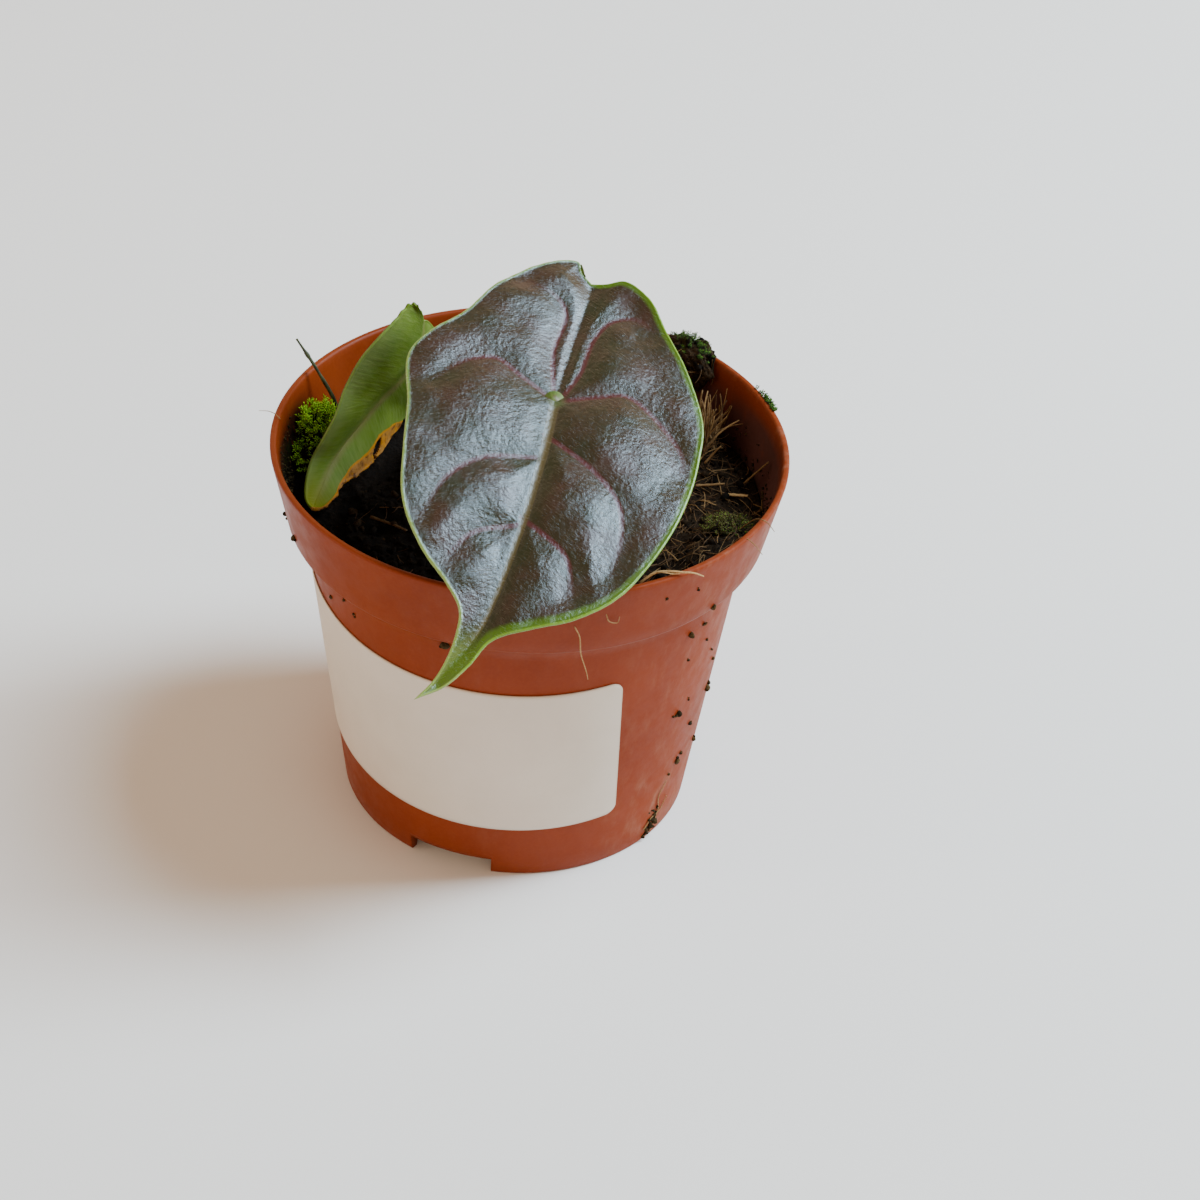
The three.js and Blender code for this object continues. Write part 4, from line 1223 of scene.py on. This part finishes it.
def main_blade_material():
    s = Shader("leaf_main_blade", IOR=1.5, Specular_IOR_Level=0.85,
               Specular_Tint=(0.74, 0.86, 0.98, 1.0))
    flat = s.value("flat", "Vector")
    grain = s.value("grain", "Vector")
    streak = s.noise(grain, 1.0, 2.5, 0.68)
    cloud = s.noise(flat, 0.11, 3.0)
    wander = s.noise(flat, 0.5, 3.0)
    rib, edge, border = s.value("rib"), s.value("edge"), s.value("border")
    vein = s.times(s.span(s.value("vein"), 0.7, 0.15), s.value("strength"))
    rim = s.plus(s.math("DIVIDE", edge, border), s.times(wander, -0.6))
    line = s.ramp(border, (0.6, (0.20, 0.31, 0.055)), (0.95, (0.13, 0.27, 0.010)))
    body = s.ramp(cloud, (0.36, (0.042, 0.021, 0.013)), (0.5, (0.027, 0.019, 0.008)),
                  (0.64, (0.019, 0.021, 0.007)))
    body = s.over(
        body,
        (s.span(streak, 0.35, 0.7, 0.0, 0.4), (0.050, 0.034, 0.016)),
        (s.span(rib, 5.0, 1.0, 0.0, 0.5), (0.018, 0.024, 0.007)),
        (s.times(vein, 0.85), (0.075, 0.017, 0.019)),
        (s.span(rib, 1.0, 0.6, 0.0, 0.9), (0.075, 0.060, 0.024)),
        # A paler line down the middle of the midrib: a painted highlight.
        (s.span(rib, 0.45, 0.1, 0.0, 0.6), (0.135, 0.110, 0.055)),
        (s.span(s.value("knot"), 2.2, 0.4, 0.0, 0.85), (0.06, 0.085, 0.030)),
        (s.span(rim, 0.95, 0.3), (0.060, 0.120, 0.007)),
        (s.value("tip"), (0.075, 0.125, 0.010)),
        (s.span(edge, 0.42, 0.22), line),
    )
    under = s.over(
        s.ramp(cloud, (0.3, (0.055, 0.030, 0.020)), (0.7, (0.045, 0.045, 0.016))),
        (s.times(vein, 0.7), (0.08, 0.11, 0.03)),
        (s.span(edge, 0.9, 0.3), (0.10, 0.16, 0.02)),
    )
    gloss = s.span(streak, 0.3, 0.72, 0.20, 0.29)
    gloss = s.plus(gloss, s.times(s.value("under"), 0.25))
    fine = s.noise(grain, 3.0, 1.0, 0.6)
    relief = s.plus(s.times(streak, 0.14), s.times(fine, 0.05))
    pebbled = s.noise(flat, 1.1, 5.0, 0.62)
    relief = s.plus(relief, s.times(pebbled, 1.2))
    return s.finish(s.blend(s.value("under"), body, under), gloss, s.bump(relief, 0.15))


def make_main_blade(material):
    q = np.linspace(0, 1, 17 * 14 + 1)[:, None]
    t = blade_stations(76, 9)[None, :]
    q, t = np.broadcast_arrays(q, t)
    flat = main_flat(q, t)
    edge = near_margin.find(flat)[0]
    edge[:, [0, -1]] = 0
    edge[[0, -1]] = 0
    rib = near_midrib.find(flat)[0]
    vein, number = near_veins.find(flat)
    share = MAIN_VEIN_SHARES[number]
    strength = 1 - 0.85 * smooth(0.55, 1.0, share)
    s, v = flat[..., 0], flat[..., 1]
    narrowing = mix(1.0, 0.5, smooth(0, 48, s))
    border = 0.6 + 0.5 * smooth(-2, 2, v) + 0.6 * smooth(25, 42, s) * smooth(-2, 2, v)
    spread = np.stack([s, v, 0 * s], -1)
    groove = 0.13 * np.exp(-(vein / 0.5) ** 2) * strength + 0.26 * np.exp(-(rib / 0.75) ** 2)
    quilt = 0.14 * fractal(spread, 5.0, 2, seed=3) * smooth(0.5, 3, np.minimum(rib, vein))
    crimp = 0.2 * fractal(spread, 7.0, 2, seed=9) * (1 - smooth(0, 4, edge))
    curled = 0.44 * smooth(2, 10, v) - 0.6 * smooth(-14, -24, s) * smooth(2, -3, v)
    dip = curled * smooth(0, 5.5, edge) * (1 - smooth(5.5, 14, edge))
    normal = blade_normals(place_on_main, q, t)
    middle = main_surface(s, v, main_puff(flat) - groove + quilt + crimp - dip)
    middle = middle - normal * MAIN["thickness"] / 2
    values = {
        "edge": edge,
        "rib": rib / narrowing + 9 * smooth(0, -1.5, s),
        "vein": vein,
        "strength": strength,
        "border": border,
        "knot": np.hypot(s, v - 0.4),
        "tip": smooth(44, 52, s),
        "flat": spread,
        "grain": grain_of(flat),
    }
    return make_blade("leaf_main_blade", middle, normal, edge, MAIN["thickness"], material,
                      "leaf_dark", "leaf_main", values)


# Second blade
SECOND_LENGTH = 46.0
SECOND_THICKNESS = 0.42
SECOND_BULGE = 0.9
# Each row holds a point of the upper margin, of the midrib and of the lower margin.
SECOND_ROWS = (
    ((-20.1, 18.6, 84), (-20.1, 18.6, 84), (-20.1, 18.6, 84)),
    ((-20.5, 15.2, 88.3), (-20.1, 19, 81.5), (-18.8, 21.8, 81.5)),
    ((-21.9, 14.4, 89.5), (-20.2, 18.8, 78.5), (-16.7, 23.3, 76.5)),
    ((-24.1, 10.9, 88.5), (-21.6, 17.1, 75.5), (-16.2, 23.5, 70.5)),
    ((-26.9, 7.9, 86.5), (-23.9, 14.6, 73), (-18.4, 23.1, 65.5)),
    ((-30, 5.8, 83), (-26.2, 12.6, 71.2), (-22.2, 21.1, 62.5)),
    ((-32.1, 4.2, 79), (-28.5, 10.3, 69.4), (-24.5, 15.9, 61.3)),
    ((-33.9, 1.1, 74.5), (-30.9, 7.6, 67.3), (-26.6, 9.3, 61)),
    ((-36, -0.8, 70.5), (-33.3, 4, 65.3), (-29.4, 4, 60.8)),
    ((-37.8, -2, 67), (-34.9, 0.6, 63.5), (-32.1, 0.2, 60.7)),
    ((-38.6, -4.4, 64), (-36.1, -3.5, 61.8), (-33.8, -4.9, 60.5)),
    ((-38.4, -6.7, 61.8), (-36.9, -6.3, 60.8), (-35.5, -7.3, 60.4)),
    ((-37.1, -7.9, 60.5), (-37.1, -7.9, 60.5), (-37.1, -7.9, 60.5)),
)


def place_on_second(q, t):
    upper, middle, lower = rails(SECOND_ROWS, q)
    chord = np.where((t < 0)[..., None], upper, lower) - middle
    inner = np.clip(q, 0.02, 0.98)
    along = unit(rails(SECOND_ROWS, inner + 0.004)[1] - rails(SECOND_ROWS, inner - 0.004)[1])
    outward = unit(np.cross(chord, along) * np.where(t < 0, 1, -1)[..., None])
    width = np.linalg.norm(chord, axis=-1)
    reach = np.abs(t)
    bulge = SECOND_BULGE * 4 * reach * (1 - reach) * width / 15
    return middle + chord * reach[..., None] + outward * bulge[..., None]


def second_blade_material():
    s = Shader("leaf_second_blade", IOR=1.5, Specular_IOR_Level=0.08,
               Subsurface_Weight=0.08, Subsurface_Radius=(0.5, 1.0, 0.1), Subsurface_Scale=0.8 * MM)
    streak = s.noise(s.value("grain", "Vector"), 1.0, 4.0, 0.6)
    cloud = s.noise(s.place(), 0.13, 3.0)
    ragged = s.noise(s.place(), 0.9, 5.0, 0.65)
    spots = s.noise(s.place(), 0.55, 5.0, 0.7)
    rib = s.value("rib")
    rot = s.plus(s.value("rot"), s.times(ragged, 0.5))
    dry = s.ramp(ragged, (0.38, (0.060, 0.022, 0.006)), (0.55, (0.29, 0.135, 0.032)))
    dried = s.times(s.span(rot, 0.75, 0.95), s.span(spots, 0.36, 0.54, 0.1, 0.95))
    body = s.over(
        s.ramp(cloud, (0.3, (0.062, 0.115, 0.012)), (0.7, (0.105, 0.165, 0.020))),
        (s.span(streak, 0.35, 0.7, 0.0, 0.5), (0.14, 0.19, 0.045)),
        (s.span(rib, 1.5, 0.1, 0.0, 0.5), (0.19, 0.15, 0.07)),
        # A paler grey-green towards the upper margin, where the blade curls away: a painted sheen.
        (s.value("painted_sheen"), (0.20, 0.25, 0.12)),
        (s.value("yellow"), (0.185, 0.205, 0.003)),
        (s.span(s.value("edge"), 0.55, 0.2, 0.0, 0.25), (0.13, 0.22, 0.02)),
        (s.span(rot, 0.52, 0.66), (0.40, 0.155, 0.005)),
        (dried, dry),
        (s.span(rot, 1.22, 1.4, 0.0, 0.6), (0.10, 0.045, 0.015)),
    )
    above = s.over(
        s.ramp(cloud, (0.3, (0.020, 0.026, 0.008)), (0.7, (0.032, 0.028, 0.012))),
        (s.span(rib, 0.9, 0.3), (0.09, 0.025, 0.025)),
        (s.span(rot, 0.6, 0.8), dry),
    )
    colour = s.blend(s.value("under"), body, above)
    return s.finish(colour, s.span(streak, 0.3, 0.7, 0.42, 0.56), s.bump(streak, 0.1, 0.8))


# Where the decay begins, from the midrib (0) to the lower margin (1), along the blade
ROT_START = ((0.43, 1.1), (0.47, 0.66), (0.54, 0.48), (0.60, 0.58), (0.69, 0.53), (0.74, 0.68),
             (0.81, 0.80), (0.90, 0.74), (0.945, 0.30), (0.97, -0.6), (0.985, -1.2))
# Holes eaten in the decayed margin: place along and across, the two half sizes, and the slant
SECOND_HOLES = ((0.572, 0.77, 0.019, 0.15, 0.16), (0.603, 0.955, 0.010, 0.035, 0.0))


def make_second_blade(material):
    q = np.linspace(0, 1, 12 * 22 + 1)[:, None]
    t = blade_stations(44, 8)[None, :]
    q, t = np.broadcast_arrays(q, t)
    upper, rib_line, lower = rails(SECOND_ROWS, q)
    chord = np.linalg.norm(np.where((t < 0)[..., None], upper, lower) - rib_line, axis=-1)
    edge = (1 - np.abs(t)) * chord * np.clip(np.minimum(q, 1 - q) / 0.05, 0, 1)
    rib = np.abs(t) * chord
    surface = place_on_second(q, t)
    normal = blade_normals(place_on_second, q, t)
    teeth = 0.28 * np.sin(q * 150) * (1 - smooth(0.16, 0.3, q)) * smooth(-0.6, -1, t)
    fray = 0.35 * fractal(surface, 1.4, 3, seed=6) * smooth(0.5, 0.62, t)
    fray = fray * smooth(0.3, 0.42, q) * (1 - smooth(0.93, 0.99, q))
    out = unit(np.where((t < 0)[..., None], upper, lower) - rib_line)
    surface = surface + out * (teeth * (t < 0) + fray * (t > 0) * smooth(0.8, 1.0, t))[..., None]
    relief = 0.12 * fractal(surface, 5, 2, seed=12) * smooth(0, 0.06, np.minimum(q, 1 - q))
    groove = 0.16 * np.exp(-(rib / 0.6) ** 2)
    surface = surface + normal * (relief + groove - SECOND_THICKNESS / 2)[..., None]
    start_q, start_t = zip(*ROT_START)
    rot = smooth(-0.06, 0.26, t - np.interp(q, start_q, start_t)) * smooth(0.40, 0.45, q)
    gone = np.zeros(q.shape, bool)
    for hole_q, hole_t, half_q, half_t, slant in SECOND_HOLES:
        rough = 1 + 0.3 * value_noise(surface * 1.1, 4)
        along_hole = (q - hole_q - slant * (t - hole_t)) / half_q
        gone |= along_hole ** 2 + ((t - hole_t) / half_t) ** 2 < rough
    along = rib * 0.9 + q * SECOND_LENGTH * 0.45
    across = q * SECOND_LENGTH * 0.9 - rib * 0.4
    values = {
        "edge": edge,
        "rib": rib,
        "rot": np.clip(rot, 0, 1),
        # Painted sheen: paler towards the upper margin, where the blade curls away.
        "painted_sheen": 0.3 * smooth(-0.55, -0.95, t) * smooth(0.15, 0.4, q),
        "yellow": 0.85 * smooth(0.74, 0.94, q),
        "grain": np.stack([along * 0.3, across * 2.2, np.sign(t) * 5.0], -1),
    }
    return make_blade("leaf_second_blade", surface, normal, edge, SECOND_THICKNESS, material,
                      "leaf_green", "leaf_second", values, gone[:-1, :-1])


# Stems
def stem_material(name, pale, dark):
    s = Shader(name, Roughness=0.42, IOR=1.45, Specular_IOR_Level=0.5,
               Subsurface_Weight=0.1, Subsurface_Radius=(0.6, 1.0, 0.3), Subsurface_Scale=MM)
    lines = s.noise(s.place((1, 1, 0.12)), 2.6, 3.0)
    spots = s.noise(s.place((1, 1, 0.6)), 0.7, 4.0)
    colour = s.blend(s.span(lines, 0.35, 0.65), pale, dark)
    colour = s.blend(s.span(spots, 0.55, 0.7, 0.0, 0.5), colour, (0.11, 0.05, 0.035))
    return s.finish(colour, normal=s.bump(lines, 0.08))


def make_petiole(name, knots, thick, thin, node, material, flare):
    """A petiole that swells at its foot and spreads where it joins the underside of its blade."""
    share = np.linspace(0, 1, 90)
    path = spline(knots, share)
    radii = mix(thick, thin, share) + 0.5 * np.exp(-share / 0.05)
    radii = radii + flare * np.exp(-(1 - share) / 0.025)
    return add_piece(name, *tube(path, radii, 28), material, "stem_green", [node])


def make_petioles(material):
    q, t = np.array([0.3826]), np.array([0.0])
    end = place_on_main(q, t)[0] - blade_normals(place_on_main, q, t)[0] * 0.35
    main = [(2.2, 3.4, 62.4), (1.6, 2.6, 70), (2, -2.2, 79), end]
    make_petiole("petiole_main_stem", main, 1.7, 1.1, "petiole_main", material, 0.7)
    q = np.array([0.17])
    end = place_on_second(q, t)[0] + blade_normals(place_on_second, q, t)[0] * 0.1
    second = [(-0.2, 6.6, 62.4), (-1.6, 7.6, 70), (-6.2, 11.4, 77.6), (-13, 16.2, 79.6), end]
    make_petiole("petiole_second_stem", second, 1.4, 0.8, "petiole_second", material, 0.4)


def stem_base_material():
    s = Shader("stem_sheath", Roughness=0.62, IOR=1.4, Specular_IOR_Level=0.4)
    lines = s.noise(s.place((1, 1, 0.1)), 1.5, 4.0, 0.6)
    colour = s.ramp(lines, (0.35, (0.07, 0.045, 0.022)), (0.5, (0.16, 0.115, 0.055)),
                    (0.68, (0.15, 0.16, 0.06)))
    return s.finish(colour, normal=s.bump(lines, 0.3))


def make_stem_base(material):
    """Overlapping dry sheaths round the short stem."""
    profile = [(2.4, 46), (3.8, 51), (4.2, 57), (3.8, 60), (4.0, 60.6), (3.8, 61.6), (3.3, 62.3),
               (2.6, 62.7)]
    angles = np.arange(72) * 5.0
    heights = np.linspace(0, 1, 60)
    curve = spline([(radius, 0, z) for radius, z in profile], heights)
    rings = []
    for radius, _, z in curve:
        ribs = 1 + 0.035 * np.sin(np.radians(angles) * 13 + z) + 0.02 * np.sin(angles * 0.4)
        rings.append(polar(radius * ribs, angles, z) + np.array([*STEM, 0]))
    return add_piece("stem_base_sheaths", *loft(rings), material, "stem_brown", ["stem_base"])


def stalk_material():
    s = Shader("dry_stalk", Roughness=0.6, IOR=1.45, Specular_IOR_Level=0.4)
    lines = s.noise(s.place((1, 1, 0.3)), 1.5, 4.0)
    colour = s.ramp(lines, (0.35, (0.012, 0.014, 0.006)), (0.65, (0.045, 0.062, 0.02)))
    return s.finish(colour, normal=s.bump(lines, 0.1))


def make_stalk(material):
    knots = [(-34.6, 16.6, 58.6), (-34.9, 16.7, 66), (-38.2, 17.5, 72.6), (-42.2, 19.5, 78)]
    share = np.linspace(0, 1, 60)
    path = spline(knots, share)
    radii = mix(0.5, 0.2, share) * (1 + 0.15 * np.sin(31 * share) * np.sin(7 * share))
    radii = radii + 0.18 * np.exp(-((share - 0.84) / 0.03) ** 2)
    return add_piece("dry_stalk_fine", *tube(path, radii, 12), material, "stem_green",
                     ["dry_stalk"])


# Crumbs that stick to the outside of the pot, as angle, height and size
WALL_CRUMBS = (
    (49.0, 58.6, 0.75), (55.2, 50.6, 0.7), (49.5, 50.2, 0.85), (51.0, 44.2, 0.5),
    (73.0, 28.4, 0.9), (51.3, 30.8, 1.0), (72.5, 16.1, 0.8), (59.0, 16.6, 0.9),
    (59.0, 45.5, 0.4), (56.8, 32.3, 0.35), (-78.5, 59.7, 0.75), (-66.8, 60.4, 0.9),
    (-59.8, 50.9, 0.5), (-52.2, 53.5, 0.45), (-48.2, 51.7, 0.55), (-19.2, 54.4, 1.1),
    (32.2, 67.3, 0.35), (41.2, 66.4, 0.4), (61.5, 17.5, 0.5), (55.8, 14.2, 0.45),
    (66.0, 57.0, 0.7), (63.0, 24.0, 0.55), (70.0, 36.0, 0.5), (65.5, 40.5, 0.4),
)
SMEAR = {"angle": 50.0, "low": 0.9, "high": 7.5, "half_width": 2.3}


def make_wall_crumbs(material):
    draw = random.Random(43)
    pile = Pile()
    for angle, z, size in WALL_CRUMBS:
        for part in range(3):
            turn = angle + draw.gauss(0, 0.5) * size
            height = z + draw.gauss(0, 0.45) * size
            small = size * (0.8 if part == 0 else draw.uniform(0.3, 0.55))
            centre = on_wall(turn, height, small * 0.35)
            pile.add(lump(draw, centre, small * 0.85, rough=0.22), draw.uniform(0.5, 1.0))
    for _ in range(46):
        rise = draw.random()
        z = mix(SMEAR["low"], SMEAR["high"], rise)
        turn = SMEAR["angle"] + 3.5 * rise + draw.gauss(0, 0.6) * SMEAR["half_width"]
        size = draw.uniform(0.22, 0.6) * mix(1.0, 0.6, rise)
        centre = polar(outer_radius(z) + size * 0.25, turn, max(z, size))
        pile.add(lump(draw, centre, size), draw.uniform(0.3, 1.0))
    for middle, spread, count, top in ((-86, 14, 170, 8.5), (78, 26, 150, 5.0)):
        for _ in range(count):
            turn = draw.gauss(middle, spread)
            z = 60.5 + top * draw.random() ** 2
            size = draw.uniform(0.15, 0.5) * mix(1.0, 0.5, (z - 60.5) / top)
            centre = polar(inner_radius(z) - size * 0.3, turn, z)
            pile.add(lump(draw, centre, size, rough=0.25), draw.uniform(0.2, 1.0))
    return pile.finish("wall_crumbs", material, "soil")


# Light, floor and camera
def make_floor(half=4.0):
    look = Shader("pale_floor", Roughness=0.75, IOR=1.4, Specular_IOR_Level=0.3)
    mesh = bpy.data.meshes.new("floor")
    corners = [(-half, -half, 0), (half, -half, 0), (half, half, 0), (-half, half, 0)]
    mesh.from_pydata(corners, [], [(0, 1, 2, 3)])
    mesh.materials.append(look.finish((0.80, 0.80, 0.80)))
    add_object("floor", mesh)


def add_panel(name, place, width, height, watts, colour):
    """A panel of light that faces the middle of the plant."""
    light = bpy.data.lights.new(name, "AREA")
    light.shape = "RECTANGLE"
    light.size = width
    light.size_y = height
    light.energy = watts
    light.color = colour
    panel = add_object(name, light)
    panel.location = place
    way = Vector((0, 0, 0.06)) - Vector(place)
    panel.rotation_euler = way.to_track_quat("-Z", "Y").to_euler()


# The room's light by the sine of the height above the horizon: pale walls and a dark ceiling
ROOM = ((0.0, (1.55, 1.08, 0.72)), (0.56, (1.55, 1.08, 0.72)), (0.74, (0.13, 0.085, 0.055)))


def make_light():
    """A tall narrow window at the right, a little behind, a weak lamp and a warm room."""
    world = bpy.data.worlds.new("studio")
    world.use_nodes = True
    nodes, links = world.node_tree.nodes, world.node_tree.links
    parts = nodes.new("ShaderNodeSeparateXYZ")
    links.new(nodes.new("ShaderNodeTexCoord").outputs["Generated"], parts.inputs[0])
    ramp = nodes.new("ShaderNodeValToRGB")
    links.new(parts.outputs["Z"], ramp.inputs["Fac"])
    set_stops(ramp.color_ramp.elements, ROOM)
    links.new(ramp.outputs["Color"], nodes["Background"].inputs["Color"])
    bpy.context.scene.world = world
    add_panel("window", (0.90, 0.18, 0.98), 0.42, 1.30, 48.0, (0.73, 0.90, 1.0))
    add_panel("lamp", (-1.55, -0.22, 0.50), 0.25, 0.25, 4.0, (1.0, 0.82, 0.6))


CAMERA = {
    "place": (0.0, -424.77, 357.17),
    "right": (0.99840, 0.00928, 0.05575),
    "up": (-0.05014, 0.60052, 0.79804),
    "forward": (0.02607, 0.79956, -0.60002),
    "lens": 88.64,
}


def make_camera():
    camera = bpy.data.cameras.new("camera")
    camera.lens = CAMERA["lens"]
    camera.sensor_width = 36.0
    camera.clip_start = 0.01
    eye = add_object("camera", camera)
    axes = (CAMERA["right"], CAMERA["up"], [-part for part in CAMERA["forward"]])
    matrix = Matrix([list(row) for row in zip(*axes)]).to_4x4()
    matrix.translation = Vector(np.array(CAMERA["place"]) * MM + POT_AXIS)
    eye.matrix_world = matrix
    bpy.context.scene.camera = eye


make_camera()
make_light()
make_floor()

soil_look = soil_material()
crumb_look = crumb_material()
coir_look = coir_material()
moss_bright = moss_material("moss_bright", (0.040, 0.120, 0.002), (0.42, 0.76, 0.010))
moss_olive = moss_material("moss_olive", (0.018, 0.013, 0.005), (0.105, 0.078, 0.020))
moss_dark = moss_material("moss_dark", (0.010, 0.024, 0.003), (0.06, 0.135, 0.010))
petiole_look = stem_material("petiole", (0.11, 0.16, 0.03), (0.07, 0.11, 0.02))

make_pot(pot_material())
make_label(label_material())
make_soil(soil_look)
make_crumbs(crumb_look)
make_soil_fibres(coir_look)
make_moss("moss_left", 430, 0.85, soil_material("moss_bed_left", 0.9), moss_bright, 51)
make_moss("moss_right", 170, 0.7, soil_material("moss_bed_right", 0.6), moss_olive, 52)
make_clump(soil_material("peat_clump", 0.3, 1.4), moss_dark, coir_look)
make_rim_moss(moss_dark)
make_tuft(coir_look)
make_straws(coir_look)
make_rim_fibres(coir_look)
make_stem_base(stem_base_material())
make_petioles(petiole_look)
make_stalk(stalk_material())
make_main_blade(main_blade_material())
make_second_blade(second_blade_material())
make_wall_crumbs(crumb_material("wall_crumb", (0.028, 0.021, 0.008), (0.095, 0.062, 0.024)))
